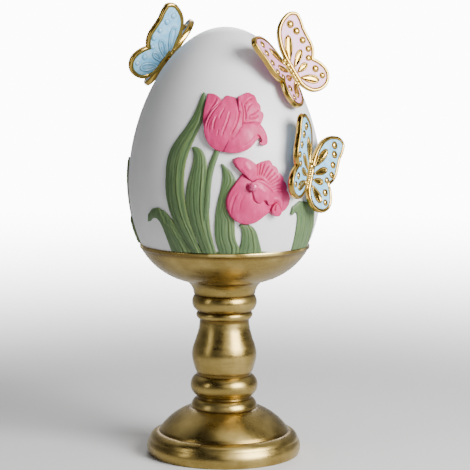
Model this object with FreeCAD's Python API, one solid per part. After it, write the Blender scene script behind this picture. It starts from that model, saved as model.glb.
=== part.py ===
# Decorative egg on a turned pedestal, with tulips and leaves in relief and three enamelled butterflies.
# Lengths are in millimetres and angles in degrees. The origin is on the axis, on the table under the felt pad.
# +Z is up and -Y is the front, the side with the tulips. Azimuth 0 is the front and grows towards +X.
import FreeCAD, Part
import math
import os

Vector = FreeCAD.Vector
UP = Vector(0, 0, 1)
AXIS_FOOT = Vector(0, 0, 0)

# Felt pad in the recess under the foot
felt_radius = 46.5
felt_thickness = 1.5
felt_recess_depth = 1.2
felt_clearance = 0.15

# Foot: a rounded rim, a quirk and a low dome
foot_base_radius = 51.6
foot_radius = 52.2
foot_widest_height = 3.3
foot_shoulder_radius = 50.6
foot_shoulder_height = 9.7
foot_rim_height = 15.0
foot_rim_top_radius = 45.3
foot_rim_fullness = 0.75
foot_quirk_width = 1.2
foot_quirk_height = 0.9
dome_height = 15.5
dome_top_radius = 23.6
dome_crown_outward = 1.6
dome_crown_upward = 1.3

# Stem: collar, lower ring, vase, astragal and upper ring, parted by narrow quirks
collar_radius = 22.6
collar_height = 6.6
collar_neck_radius = 18.6
collar_middle_radius = 21.7
quirk_height = 1.3
lower_ring_radius = 22.9
lower_ring_height = 14.6
lower_ring_top_radius = 18.7
vase_height = 35.7
vase_belly_radius = 21.9
vase_neck_radius = 16.7
# The vase's outline: share of the swell from neck to belly, and share of the vase's height
vase_outline_shares = [(0.62, 0.08), (1.0, 0.31), (0.86, 0.49), (0.48, 0.66), (0.12, 0.85)]
astragal_radius = 19.0
astragal_height = 4.9
astragal_neck_radius = 17.2
upper_ring_radius = 21.9
upper_ring_height = 11.0
upper_ring_foot_radius = 18.9

# Cup: a cove under a shallow bowl, with a thin lip round the egg
cove_foot_radius = 20.8
cove_height = 8.7
cove_top_radius = 26.4
cove_hollow = 2.3
bowl_height = 22.3
bowl_bulge = 6.0
lip_height = 2.9
lip_thickness = 1.5
lip_overhang = 0.9
lip_round = 0.6
seat_depth = 2.0

# Egg shell
egg_half_length = 92.0
egg_half_width = 64.3
egg_taper_share = 0.129
egg_seating_share = 0.579
egg_wall = 6.0
egg_base_thickness = 8.0
egg_curve_spans = 8
glue_gap = 0.15
spigot_radius = 18.0
spigot_length = 9.0

# Leaves in relief
leaf_edge_height = 1.1
leaf_crown_height = 2.0
leaf_root_depth = 1.4
leaf_lip_gap = 0.1

# Tulip petals in relief: each is a cap of a large ball, cut to the petal's outline
petal_ball_radius = 34.0
front_petal_height = 5.6
side_petal_height = 3.6
ruffled_petal_height = 3.9
curled_petal_height = 4.8
cup_petal_height = 5.4
upper_petal_height = 5.0
fan_petal_height = 4.0
fold_petal_height = 6.2
small_curl_height = 5.4
small_curl_ball_radius = 14.0
petal_draw_reach = 8.0

# Dew bead on the lower tulip
bead_radius = 3.0
bead_sink = 1.8

# Butterfly castings
wing_width = 26.0
wing_length = 54.4
wing_thickness = 4.0
wing_top_height = 1.3
wing_rim = 1.7
wing_hinge_offset = 1.2
enamel_pocket_depth = 0.6
enamel_thickness = 0.45
dot_radius = 2.1
body_head_radius = 1.9
body_thorax_radius = 2.5
body_waist_radius = 1.3
body_tail_radius = 1.7
body_head_reach = 9.4
body_tail_reach = 12.2
peg_radius = 1.5
peg_depth = 4.0
peg_clearance = 0.1
peg_end_gap = 0.4
boss_radius = 2.4
boss_seat_gap = 0.05

# One overrun serves every cut that must pass clean through
overrun = 2.0

# Levels of the pedestal, each worked out from the one below
foot_level = felt_thickness - felt_recess_depth
rim_top_level = foot_level + foot_rim_height
dome_foot_level = rim_top_level + foot_quirk_height
dome_top_level = dome_foot_level + dome_height
collar_top_level = dome_top_level + collar_height
lower_ring_level = collar_top_level + quirk_height
lower_ring_top_level = lower_ring_level + lower_ring_height
vase_level = lower_ring_top_level + quirk_height
vase_top_level = vase_level + vase_height
astragal_level = vase_top_level + quirk_height
astragal_top_level = astragal_level + astragal_height
upper_ring_level = astragal_top_level + quirk_height / 2
upper_ring_top_level = upper_ring_level + upper_ring_height
cove_level = upper_ring_top_level + quirk_height / 2
cove_top_level = cove_level + cove_height
bowl_top_level = cove_top_level + bowl_height
lip_level = bowl_top_level + lip_height
seat_level = lip_level - seat_depth
egg_centre_level = lip_level + egg_half_length * egg_seating_share

# Stations of a leaf: azimuth and level share of its left edge, then of its right edge, from root to tip.
# A level share counts from the egg's centre, in egg half lengths.
leaf_station_shares = {
    "leaf_tall": [
        (-20.5, -0.62, -13.0, -0.62),
        (-27.0, -0.46, -18.0, -0.46),
        (-32.5, -0.32, -21.5, -0.30),
        (-35.5, -0.17, -23.5, -0.15),
        (-36.0, -0.03, -23.5, -0.01),
        (-34.5, 0.13, -21.5, 0.13),
        (-28.0, 0.26, -17.0, 0.27),
        (-21.0, 0.395, -13.5, 0.40),
        (-16.2, 0.54, -14.4, 0.54),
    ],
    "leaf_mid": [
        (-13.5, -0.62, -4.0, -0.62),
        (-19.0, -0.42, -8.0, -0.42),
        (-22.5, -0.26, -8.8, -0.26),
        (-22.3, -0.11, -9.0, -0.11),
        (-19.6, 0.02, -9.9, 0.02),
        (-18.6, 0.105, -12.2, 0.13),
        (-19.9, 0.165, -18.2, 0.175),
    ],
    "tulip_stem_upper": [
        (-13.0, -0.33, -9.6, -0.33),
        (-12.0, -0.2, -8.2, -0.2),
        (-11.0, -0.07, -7.4, -0.065),
        (-9.8, 0.03, -5.9, 0.03),
        (-8.2, 0.09, -4.4, 0.09),
        (-5.8, 0.17, -2.2, 0.17),
    ],
    "leaf_centre": [
        (-3.0, -0.62, 8.8, -0.62),
        (-5.5, -0.50, 7.8, -0.50),
        (-6.0, -0.36, 5.8, -0.36),
        (-5.0, -0.25, 5.0, -0.25),
        (-2.8, -0.13, 6.0, -0.13),
        (-1.6, -0.05, 6.0, -0.05),
        (-1.6, 0.01, 3.2, 0.01),
        (-2.4, 0.06, -1.2, 0.06),
    ],
    "leaf_short": [
        (9.3, -0.62, 23.0, -0.62),
        (9.4, -0.53, 23.0, -0.52),
        (10.0, -0.48, 20.5, -0.45),
        (10.0, -0.43, 16.5, -0.38),
        (9.3, -0.39, 12.0, -0.36),
        (8.3, -0.375, 9.2, -0.36),
    ],
    "leaf_curl_left": [
        (-37.0, -0.62, -20.5, -0.60),
        (-38.5, -0.49, -27.5, -0.44),
        (-40.0, -0.41, -32.0, -0.345),
        (-41.8, -0.365, -36.8, -0.285),
        (-43.6, -0.345, -42.0, -0.262),
        (-45.8, -0.34, -47.0, -0.275),
        (-48.0, -0.35, -51.2, -0.32),
        (-50.3, -0.37, -52.2, -0.37),
    ],
    "leaf_curl_right": [
        (50.5, -0.62, 76.0, -0.63),
        (49.3, -0.52, 73.5, -0.52),
        (48.6, -0.44, 72.0, -0.42),
        (48.0, -0.385, 68.0, -0.32),
        (47.6, -0.34, 58.0, -0.235),
        (46.6, -0.305, 48.0, -0.215),
        (44.8, -0.295, 42.0, -0.255),
        (42.8, -0.315, 41.0, -0.305),
    ],
    "leaf_side_left": [
        (-104.0, -0.62, -91.0, -0.62),
        (-107.0, -0.46, -92.5, -0.46),
        (-107.5, -0.30, -92.0, -0.30),
        (-106.0, -0.15, -90.0, -0.15),
        (-103.0, -0.07, -89.5, -0.07),
        (-99.0, 0.0, -91.0, 0.0),
        (-95.5, 0.045, -93.5, 0.05),
    ],
    "leaf_side_curl": [
        (-98.0, -0.62, -86.0, -0.62),
        (-95.5, -0.53, -84.5, -0.55),
        (-93.0, -0.47, -84.5, -0.485),
        (-92.0, -0.44, -86.0, -0.405),
        (-93.0, -0.43, -91.0, -0.37),
        (-94.5, -0.44, -97.0, -0.405),
        (-96.0, -0.465, -98.0, -0.465),
    ],
}

# Leaves whose tips curl over turn too sharply for one smooth skin, so theirs goes straight from station to station
curled_leaves = ["leaf_curl_left", "leaf_curl_right", "leaf_side_curl"]

# Leaves on the back repeat the front ones, turned round the axis. Each entry is the front leaf and its turn.
back_leaf_turns = {
    "leaf_back_curl": ("leaf_curl_left", 178.0),
    "leaf_back_tall": ("leaf_tall", 188.0),
    "leaf_back_mid": ("leaf_mid", 193.0),
    "leaf_back_centre": ("leaf_centre", 201.0),
    "leaf_back_short": ("leaf_short", 201.5),
    "leaf_back_side": ("leaf_mid", 251.0),
}

# Each leaf is cut back where the ones named with it lie over it
leaves_over = {
    "leaf_tall": ["leaf_mid"],
    "leaf_mid": ["leaf_centre"],
    "tulip_stem_upper": ["leaf_mid"],
    "leaf_centre": ["leaf_short"],
    "leaf_curl_left": ["leaf_tall"],
    "leaf_side_left": ["leaf_side_curl"],
    "leaf_back_tall": ["leaf_back_mid"],
    "leaf_back_mid": ["leaf_back_centre"],
    "leaf_back_centre": ["leaf_back_short"],
    "leaf_back_curl": ["leaf_back_tall"],
}

# Petal outlines, drawn facing the azimuth given with them: across as a share of the egg's half width,
# level as a share of its half length above its centre. Each stroke is one smooth curve, and corners lie between.
petal_outline_shares = {
    "upper_front_petal": (-5.0, [
        [(0.085, 0.552), (0.105, 0.535), (0.135, 0.54), (0.165, 0.525)],
        [(0.165, 0.525), (0.2, 0.485), (0.23, 0.435), (0.25, 0.37), (0.25, 0.31), (0.222, 0.24), (0.175, 0.185),
         (0.12, 0.145)],
        [(0.12, 0.145), (0.045, 0.145), (-0.04, 0.17), (-0.1, 0.225), (-0.127, 0.295), (-0.1, 0.37),
         (-0.04, 0.44), (0.035, 0.49), (0.085, 0.552)],
    ]),
    "upper_left_petal": (-5.0, [
        [(-0.105, 0.54), (-0.04, 0.535), (0.01, 0.515), (0.04, 0.48)],
        [(0.04, 0.48), (0.0, 0.40), (-0.06, 0.32), (-0.12, 0.27)],
        [(-0.12, 0.27), (-0.14, 0.35), (-0.135, 0.425), (-0.12, 0.49), (-0.105, 0.54)],
    ]),
    "upper_ruffled_petal": (5.0, [
        [(0.05, 0.52), (0.105, 0.535), (0.155, 0.547), (0.195, 0.535)],
        [(0.195, 0.535), (0.215, 0.53), (0.238, 0.505), (0.245, 0.48)],
        [(0.245, 0.48), (0.265, 0.47), (0.28, 0.445), (0.275, 0.42)],
        [(0.275, 0.42), (0.305, 0.405), (0.305, 0.375), (0.27, 0.325)],
        [(0.27, 0.325), (0.19, 0.325), (0.12, 0.32), (0.03, 0.34)],
        [(0.03, 0.34), (0.05, 0.43), (0.05, 0.52)],
    ]),
    "upper_curled_petal": (5.0, [
        [(0.0, 0.375), (0.06, 0.345), (0.12, 0.338), (0.185, 0.345), (0.25, 0.34), (0.31, 0.295), (0.338, 0.25),
         (0.345, 0.21)],
        [(0.345, 0.21), (0.325, 0.188), (0.285, 0.185), (0.258, 0.205)],
        [(0.258, 0.205), (0.275, 0.215), (0.278, 0.23), (0.245, 0.235)],
        [(0.245, 0.235), (0.21, 0.205), (0.15, 0.165), (0.06, 0.14), (-0.02, 0.135), (-0.105, 0.145)],
        [(-0.105, 0.145), (-0.06, 0.22), (-0.02, 0.30), (0.0, 0.375)],
    ]),
    "lower_cup_petal": (20.0, [
        [(-0.175, 0.0), (-0.25, -0.065), (-0.32, -0.135), (-0.345, -0.205), (-0.32, -0.275), (-0.265, -0.325),
         (-0.18, -0.357), (-0.1, -0.36), (-0.02, -0.34), (0.055, -0.30), (0.11, -0.28)],
        [(0.11, -0.28), (0.115, -0.24), (0.08, -0.19)],
        [(0.08, -0.19), (0.0, -0.12), (-0.09, -0.05), (-0.175, 0.0)],
    ]),
    "lower_upper_petal": (20.0, [
        [(-0.275, 0.085), (-0.215, 0.107), (-0.145, 0.10), (-0.085, 0.075), (-0.045, 0.045), (-0.035, 0.01),
         (-0.04, -0.035), (-0.07, -0.075)],
        [(-0.07, -0.075), (-0.13, -0.045), (-0.18, -0.01), (-0.235, 0.03), (-0.275, 0.085)],
    ]),
    "lower_fan_petal": (28.0, [
        [(-0.195, 0.075), (-0.175, 0.097), (-0.14, 0.085)],
        [(-0.14, 0.085), (-0.11, 0.092), (-0.07, 0.082)],
        [(-0.07, 0.082), (-0.035, 0.085), (0.0, 0.045)],
        [(0.0, 0.045), (0.03, 0.035), (0.05, -0.005)],
        [(0.05, -0.005), (0.085, -0.02), (0.105, -0.065)],
        [(0.105, -0.065), (0.135, -0.085), (0.14, -0.13)],
        [(0.14, -0.13), (0.17, -0.15), (0.198, -0.225), (0.165, -0.27), (0.08, -0.298), (0.02, -0.31)],
        [(0.02, -0.31), (-0.06, -0.25), (-0.15, -0.13), (-0.195, -0.02), (-0.195, 0.075)],
    ]),
    "lower_fold_petal": (24.0, [
        [(-0.145, -0.05), (-0.09, -0.05), (-0.03, -0.07), (0.03, -0.115), (0.055, -0.16), (0.04, -0.22)],
        [(0.04, -0.22), (0.01, -0.228), (-0.02, -0.21)],
        [(-0.02, -0.21), (-0.045, -0.19), (-0.075, -0.2)],
        [(-0.075, -0.2), (-0.11, -0.215), (-0.145, -0.195), (-0.17, -0.155), (-0.185, -0.11), (-0.145, -0.05)],
    ]),
    "lower_small_curl": (28.0, [
        [(-0.04, -0.255), (-0.01, -0.225), (0.035, -0.212), (0.068, -0.245), (0.078, -0.285), (0.04, -0.312)],
        [(0.04, -0.312), (0.0, -0.305), (-0.035, -0.28), (-0.04, -0.255)],
    ]),
}

# Where each petal's ball is centred: azimuth and level share, then its radius and its height over the egg
petal_ball_places = {
    "upper_front_petal": (-3.0, 0.32, petal_ball_radius, front_petal_height),
    "upper_left_petal": (-9.0, 0.40, petal_ball_radius, side_petal_height),
    "upper_ruffled_petal": (13.0, 0.42, petal_ball_radius, ruffled_petal_height),
    "upper_curled_petal": (9.0, 0.24, petal_ball_radius, curled_petal_height),
    "lower_cup_petal": (12.0, -0.20, petal_ball_radius, cup_petal_height),
    "lower_upper_petal": (12.0, 0.04, petal_ball_radius, upper_petal_height),
    "lower_fan_petal": (28.0, -0.11, petal_ball_radius, fan_petal_height),
    "lower_fold_petal": (20.0, -0.13, petal_ball_radius, fold_petal_height),
    "lower_small_curl": (29.0, -0.265, small_curl_ball_radius, small_curl_height),
}

# Each petal is cut back where the ones named with it lie over it
petals_over = {
    "upper_left_petal": ["upper_front_petal"],
    "upper_curled_petal": ["upper_front_petal"],
    "upper_ruffled_petal": ["upper_front_petal", "upper_curled_petal"],
    "lower_cup_petal": ["lower_upper_petal", "lower_fold_petal", "lower_small_curl"],
    "lower_upper_petal": ["lower_fold_petal"],
    "lower_fan_petal": ["lower_upper_petal", "lower_fold_petal", "lower_cup_petal", "lower_small_curl"],
    "lower_small_curl": ["lower_fold_petal"],
}

# The bead's place on the lower tulip: azimuth, and level as a share of the egg's half length
bead_azimuth = 14.5
bead_level_share = -0.095

# Wing outline from the front root round to the tail root: across as a share of the wing's width,
# along as a share of its length, counted from the middle of the body towards the head
forewing_shares = [(0.01, 0.155), (0.06, 0.295), (0.19, 0.44), (0.42, 0.55), (0.65, 0.59), (0.865, 0.585),
                   (1.0, 0.52), (0.985, 0.43), (0.93, 0.34), (0.915, 0.25), (0.905, 0.145), (0.855, 0.055),
                   (0.715, -0.035)]
hindwing_shares = [(0.715, -0.035), (0.825, -0.125), (0.875, -0.21), (0.815, -0.33), (0.635, -0.40),
                   (0.405, -0.41), (0.2, -0.37), (0.06, -0.285), (0.0, -0.195)]

# Raised drops on a wing: root across, root along, tip across, tip along, and half width in wing widths
drop_shares = [
    (0.08, 0.11, 0.41, 0.355, 0.077),
    (0.135, 0.005, 0.515, 0.135, 0.063),
    (0.145, -0.07, 0.445, -0.045, 0.063),
    (0.14, -0.155, 0.5, -0.285, 0.085),
]

# A drop's side from root to tip: along as a share of its length, aside as a share of its half width
drop_side_shares = [(0.08, 0.32), (0.3, 0.74), (0.62, 1.0), (0.88, 0.72)]

# Raised dots on a wing: across, along, and radius as a share of the largest dot's
dot_shares = [
    (0.635, 0.465, 1.0),
    (0.685, 0.355, 0.95),
    (0.695, 0.215, 0.8),
    (0.71, 0.085, 0.7),
    (0.56, -0.005, 0.7),
    (0.59, -0.16, 0.9),
    (0.645, -0.28, 0.7),
]

# Butterflies: azimuth, level share, heading, pitch and roll in degrees, wing rise in degrees,
# and how far the body's middle stands off the egg
stand_off_pink = 5.0
stand_off_right = 4.0
stand_off_left = 4.4
butterfly_places = {
    "butterfly_pink": (61.0, 0.662, 17.7, 4.6, -19.9, 21.3, stand_off_pink),
    "butterfly_blue_right": (52.9, -0.022, -23.9, -1.4, 0.0, 11.6, stand_off_right),
    "butterfly_blue_left": (-112.2, 0.734, 16.5, 2.8, -6.2, 33.6, stand_off_left),
}


def line(start, end):
    return Part.LineSegment(start, end).toShape()


def arc(start, middle, end):
    return Part.Arc(start, middle, end).toShape()


def curve(points):
    """One smooth curve through the points, or a straight line through two."""
    if len(points) == 2:
        return line(points[0], points[1])
    spline = Part.BSplineCurve()
    spline.interpolate(points)
    return spline.toShape()


def arcs(points):
    """A run of arcs, each through three points, so the count of points is odd."""
    return [arc(*points[first:first + 3]) for first in range(0, len(points) - 2, 2)]


def at(radius, level):
    """A point of a turned profile, in the XZ plane."""
    return Vector(radius, 0, level)


def turned(edges):
    """The solid that a closed profile sweeps round the axis."""
    face = Part.Face(Part.Wire(edges))
    return face.revolve(AXIS_FOOT, UP, 360)


def egg_radius(level, grow=0):
    """The egg's radius at a level, or that of an egg larger all round by grow."""
    share = (level - egg_centre_level) / (egg_half_length + grow)
    round_part = math.sqrt(max(0.0, 1 - share * share))
    return (egg_half_width + grow) * round_part * (1 - egg_taper_share * share)


def egg_normal(azimuth, level):
    """The outward direction of the egg's surface."""
    share = (level - egg_centre_level) / egg_half_length
    round_part = math.sqrt(1 - share * share)
    slope = -share / round_part * (1 - egg_taper_share * share) - egg_taper_share * round_part
    slope = slope * egg_half_width / egg_half_length
    turn = math.radians(azimuth)
    normal = Vector(math.sin(turn), -math.cos(turn), -slope)
    return normal.normalize()


def egg_point(azimuth, level_share, lift):
    """A point that stands off the egg's surface by lift."""
    level = egg_centre_level + level_share * egg_half_length
    radius = egg_radius(level)
    turn = math.radians(azimuth)
    surface = Vector(radius * math.sin(turn), -radius * math.cos(turn), level)
    return surface + egg_normal(azimuth, level) * lift


def egg_solid(grow, foot_of_egg):
    """The egg's form, larger all round by grow, cut flat at a level."""
    half_length = egg_half_length + grow
    half_width = egg_half_width + grow
    last_angle = math.acos((foot_of_egg - egg_centre_level) / half_length)
    angles = [last_angle * step / egg_curve_spans for step in range(egg_curve_spans + 1)]
    points = []
    for angle in angles:
        level = egg_centre_level + half_length * math.cos(angle)
        radius = half_width * math.sin(angle) * (1 - egg_taper_share * math.cos(angle))
        points.append(at(radius, level))
    crown_slope = Vector(half_width * (1 - egg_taper_share), 0, 0)
    foot_slope = Vector(
        half_width * (math.cos(last_angle) - egg_taper_share * math.cos(2 * last_angle)),
        0,
        -half_length * math.sin(last_angle),
    )
    spline = Part.BSplineCurve()
    spline.interpolate(
        Points=points,
        Parameters=angles,
        InitialTangent=crown_slope,
        FinalTangent=foot_slope,
        Scale=False,
    )
    foot_centre = at(0, foot_of_egg)
    edges = [spline.toShape(), line(points[-1], foot_centre), line(foot_centre, points[0])]
    return turned(edges)


def peg_axis(place):
    """The seat on the egg and the direction of a butterfly's peg."""
    azimuth, level_share = place[0], place[1]
    level = egg_centre_level + level_share * egg_half_length
    return egg_point(azimuth, level_share, 0), egg_normal(azimuth, level)


def felt_pad():
    return Part.makeCylinder(felt_radius, felt_thickness)


def foot_edges():
    """The foot's outline from the recess edge to the foot of the collar."""
    recess_radius = felt_radius + felt_clearance
    rim_foot = at(foot_base_radius, foot_level)
    rim_side = at(foot_radius, foot_level + foot_widest_height)
    rim_top = at(foot_rim_top_radius, rim_top_level)
    shoulder = at(foot_shoulder_radius, foot_level + foot_shoulder_height)
    rim_corner = at(
        (foot_shoulder_radius + foot_rim_top_radius) / 2 + foot_rim_fullness,
        foot_level + (foot_shoulder_height + foot_rim_height) / 2 + foot_rim_fullness,
    )
    dome_foot_radius = foot_rim_top_radius - foot_quirk_width
    dome_foot = at(dome_foot_radius, dome_foot_level)
    quirk_corner = at(dome_foot_radius, rim_top_level)
    dome_top = at(dome_top_radius, dome_top_level)
    dome_middle = at(
        (dome_foot_radius + dome_top_radius) / 2 + dome_crown_outward,
        (dome_foot_level + dome_top_level) / 2 + dome_crown_upward,
    )
    collar_foot = at(collar_radius, dome_top_level)
    return [
        line(at(0, felt_thickness), at(recess_radius, felt_thickness)),
        line(at(recess_radius, felt_thickness), at(recess_radius, foot_level)),
        line(at(recess_radius, foot_level), rim_foot),
        arc(rim_foot, rim_side, shoulder),
        arc(shoulder, rim_corner, rim_top),
        line(rim_top, quirk_corner),
        line(quirk_corner, dome_foot),
        arc(dome_foot, dome_middle, dome_top),
        line(dome_top, collar_foot),
    ]


def stem_edges():
    """The stem's outline from the collar to the top of the upper ring."""
    collar_middle = at(collar_middle_radius, dome_top_level + collar_height / 2)
    collar_top = at(collar_neck_radius, collar_top_level)
    ring_foot = at(collar_neck_radius, lower_ring_level)
    ring_side = at(lower_ring_radius, (lower_ring_level + lower_ring_top_level) / 2)
    ring_top = at(lower_ring_top_radius, lower_ring_top_level)
    vase_foot = at(lower_ring_top_radius, vase_level)
    vase_swell = vase_belly_radius - vase_neck_radius
    vase_points = [vase_foot]
    for swell_share, height_share in vase_outline_shares:
        radius = vase_neck_radius + vase_swell * swell_share
        vase_points.append(at(radius, vase_level + vase_height * height_share))
    vase_top = at(vase_neck_radius, vase_top_level)
    vase_points.append(vase_top)
    astragal_foot = at(astragal_neck_radius, astragal_level)
    astragal_side = at(astragal_radius, (astragal_level + astragal_top_level) / 2)
    astragal_top = at(upper_ring_foot_radius - quirk_height / 2, astragal_top_level)
    upper_foot = at(upper_ring_foot_radius, upper_ring_level)
    upper_side = at(upper_ring_radius, (upper_ring_level + upper_ring_top_level) / 2)
    upper_top = at(cove_foot_radius - quirk_height / 2, upper_ring_top_level)
    return [
        arc(at(collar_radius, dome_top_level), collar_middle, collar_top),
        line(collar_top, ring_foot),
        arc(ring_foot, ring_side, ring_top),
        line(ring_top, vase_foot),
        curve(vase_points),
        line(vase_top, astragal_foot),
        arc(astragal_foot, astragal_side, astragal_top),
        line(astragal_top, upper_foot),
        arc(upper_foot, upper_side, upper_top),
    ]


def cup_edges():
    """The cup's outline from the upper ring over the lip to the seat and the socket for the egg's spigot."""
    lip_inner_radius = egg_radius(lip_level) + glue_gap
    lip_radius = lip_inner_radius + lip_thickness
    bowl_radius = lip_radius - lip_overhang
    cove_foot = at(cove_foot_radius, cove_level)
    cove_top = at(cove_top_radius, cove_top_level)
    cove_middle = at(
        (cove_foot_radius + cove_top_radius) / 2 - cove_hollow / 2,
        (cove_level + cove_top_level) / 2 + cove_hollow / 4,
    )
    bowl_top = at(bowl_radius, bowl_top_level)
    bowl_middle = at(
        (cove_top_radius + bowl_radius) / 2 + bowl_bulge / 2,
        (cove_top_level + bowl_top_level) / 2 - bowl_bulge / 2,
    )
    lip_foot = at(lip_radius, bowl_top_level + lip_overhang)
    lip_side = at(lip_radius, lip_level - lip_round)
    lip_crest = at(lip_radius - lip_round, lip_level)
    lip_corner = at(lip_radius - lip_round * (1 - math.sqrt(0.5)), lip_level - lip_round * (1 - math.sqrt(0.5)))
    seat_corner = at(egg_radius(seat_level) + glue_gap, seat_level)
    socket_radius = spigot_radius + glue_gap
    socket_floor = seat_level - spigot_length - glue_gap
    return [
        line(at(cove_foot_radius - quirk_height / 2, upper_ring_top_level), cove_foot),
        arc(cove_foot, cove_middle, cove_top),
        arc(cove_top, bowl_middle, bowl_top),
        line(bowl_top, lip_foot),
        line(lip_foot, lip_side),
        arc(lip_side, lip_corner, lip_crest),
        line(lip_crest, at(lip_inner_radius, lip_level)),
        line(at(lip_inner_radius, lip_level), seat_corner),
        line(seat_corner, at(socket_radius, seat_level)),
        line(at(socket_radius, seat_level), at(socket_radius, socket_floor)),
        line(at(socket_radius, socket_floor), at(0, socket_floor)),
        line(at(0, socket_floor), at(0, felt_thickness)),
    ]


def pedestal():
    """The foot, stem and cup, turned as one casting."""
    return turned(foot_edges() + stem_edges() + cup_edges())


def egg_shell(egg_form):
    """The hollow egg, with a spigot under it and a blind socket for each butterfly's peg."""
    hollow = egg_solid(-egg_wall, seat_level + egg_base_thickness)
    spigot = Part.makeCylinder(spigot_radius, spigot_length + overrun, at(0, seat_level - spigot_length))
    shell = egg_form.fuse(spigot).cut(hollow)
    for place in butterfly_places.values():
        seat, outward = peg_axis(place)
        depth = peg_depth + peg_end_gap
        socket = Part.makeCylinder(peg_radius + peg_clearance, depth + overrun, seat - outward * depth, outward)
        shell = shell.cut(socket)
    return shell.removeSplitter()


def leaf_section(station, turn):
    """One cross-section of a leaf: two low edges with a crowned face between them, rooted inside the egg."""
    left_azimuth, left_share, right_azimuth, right_share = station
    left = egg_point(left_azimuth + turn, left_share, 0)
    right = egg_point(right_azimuth + turn, right_share, 0)
    middle_azimuth = (left_azimuth + right_azimuth) / 2 + turn
    middle_share = (left_share + right_share) / 2
    middle = egg_point(middle_azimuth, middle_share, 0)
    chord = right - left
    outward = egg_normal(middle_azimuth, egg_centre_level + middle_share * egg_half_length)
    outward = outward - chord * (outward.dot(chord) / chord.dot(chord))
    outward.normalize()
    swell = (middle - left).dot(outward)
    left_foot = left - outward * leaf_root_depth
    right_foot = right - outward * leaf_root_depth
    left_edge = left + outward * leaf_edge_height
    right_edge = right + outward * leaf_edge_height
    crown = (left + right) / 2 + outward * (swell + leaf_crown_height)
    return Part.Wire([
        line(left_foot, left_edge),
        arc(left_edge, crown, right_edge),
        line(right_edge, right_foot),
        line(right_foot, left_foot),
    ])


def leaf_blank(name):
    """A leaf's whole form, before the egg and the leaves over it are cut away."""
    source, turn = back_leaf_turns.get(name, (name, 0.0))
    sections = [leaf_section(station, turn) for station in leaf_station_shares[source]]
    ruled = source in curled_leaves
    return Part.makeLoft(sections, True, ruled)


def above_lip(shape):
    """What of a relief piece stands clear above the cup's lip."""
    reach = 2 * egg_half_width
    level = lip_level + leaf_lip_gap
    clear_space = Part.makeBox(2 * reach, 2 * reach, 2 * egg_half_length, Vector(-reach, -reach, level))
    return shape.common(clear_space)


def petal_prism(name):
    """A petal's outline, drawn out from the egg's axis towards the azimuth it faces."""
    facing, strokes = petal_outline_shares[name]
    turn = math.radians(facing)
    across_way = Vector(math.cos(turn), math.sin(turn), 0)
    outward = Vector(math.sin(turn), -math.cos(turn), 0)
    edges = []
    for stroke in strokes:
        points = []
        for across_share, level_share in stroke:
            level = egg_centre_level + level_share * egg_half_length
            points.append(across_way * (across_share * egg_half_width) + Vector(0, 0, level))
        edges.append(curve(points))
    face = Part.Face(Part.Wire(edges))
    return face.extrude(outward * (egg_half_width + petal_draw_reach))


def petal_blank(name):
    """A petal's whole form: a cap of a ball, cut to the outline."""
    azimuth, level_share, radius, height = petal_ball_places[name]
    ball = Part.makeSphere(radius, egg_point(azimuth, level_share, height - radius))
    return ball.common(petal_prism(name))


def largest_solid(shape):
    """The main solid of a cut piece, without the slivers that a cut along an edge can leave."""
    return max(shape.Solids, key=lambda solid: solid.Volume)


def relief_pieces(egg_form):
    """Every leaf and petal, each cut back by what lies over it and seated on the egg."""
    petals = {}
    for name in petal_outline_shares:
        petals[name] = petal_blank(name)
    leaves = {}
    for name in list(leaf_station_shares) + list(back_leaf_turns):
        leaves[name] = above_lip(leaf_blank(name))
    pieces = {}
    for name, blank in petals.items():
        over = [petals[other] for other in petals_over.get(name, [])]
        piece = blank.cut([egg_form] + over)
        pieces[name] = largest_solid(piece)
    for name, blank in leaves.items():
        over = [leaves[other] for other in leaves_over.get(name, [])]
        over = over + [petal for petal in petals.values() if petal.BoundBox.intersect(blank.BoundBox)]
        piece = blank.cut([egg_form] + over)
        pieces[name] = largest_solid(piece)
    return pieces


def dew_bead(petals):
    """The clear bead, cut to the petals that it sits on."""
    azimuth, level_share = bead_azimuth, bead_level_share
    level = egg_centre_level + level_share * egg_half_length
    outward = egg_normal(azimuth, level)
    ball_azimuth, ball_share, radius, height = petal_ball_places["lower_fold_petal"]
    ball_centre = egg_point(ball_azimuth, ball_share, height - radius)
    seat = egg_point(azimuth, level_share, 0)
    across = seat - ball_centre
    along = across.dot(outward)
    reach = -along + math.sqrt(along * along - across.dot(across) + radius * radius)
    top = seat + outward * reach
    bead = Part.makeSphere(bead_radius, top + outward * (bead_radius - bead_sink))
    return largest_solid(bead.cut(petals))


def wing_point(across_share, along_share):
    return Vector(across_share * wing_width, along_share * wing_length, 0)


def wing_face():
    """The outline of one right wing, flat, with the hinge on the Y axis and the head towards +Y."""
    fore = [wing_point(across, along) for across, along in forewing_shares]
    hind = [wing_point(across, along) for across, along in hindwing_shares]
    return Part.Face(Part.Wire(arcs(fore) + arcs(hind) + [line(hind[-1], fore[0])]))


def drop_face(drop):
    """One raised drop: pointed at the root, widest beyond its middle and round at the tip."""
    root = wing_point(drop[0], drop[1])
    tip = wing_point(drop[2], drop[3])
    along = tip - root
    aside = Vector(-along.y, along.x, 0)
    aside.normalize()
    aside = aside * (drop[4] * wing_width)
    left = [root + along * reach + aside * spread for reach, spread in drop_side_shares]
    right = [root + along * reach - aside * spread for reach, spread in reversed(drop_side_shares)]
    return Part.Face(Part.Wire([curve([root] + left + [tip] + right + [root])]))


def dot_face(dot):
    centre = wing_point(dot[0], dot[1])
    circle = Part.Circle(centre, UP, dot[2] * dot_radius)
    return Part.Face(Part.Wire(circle.toShape()))


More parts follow.
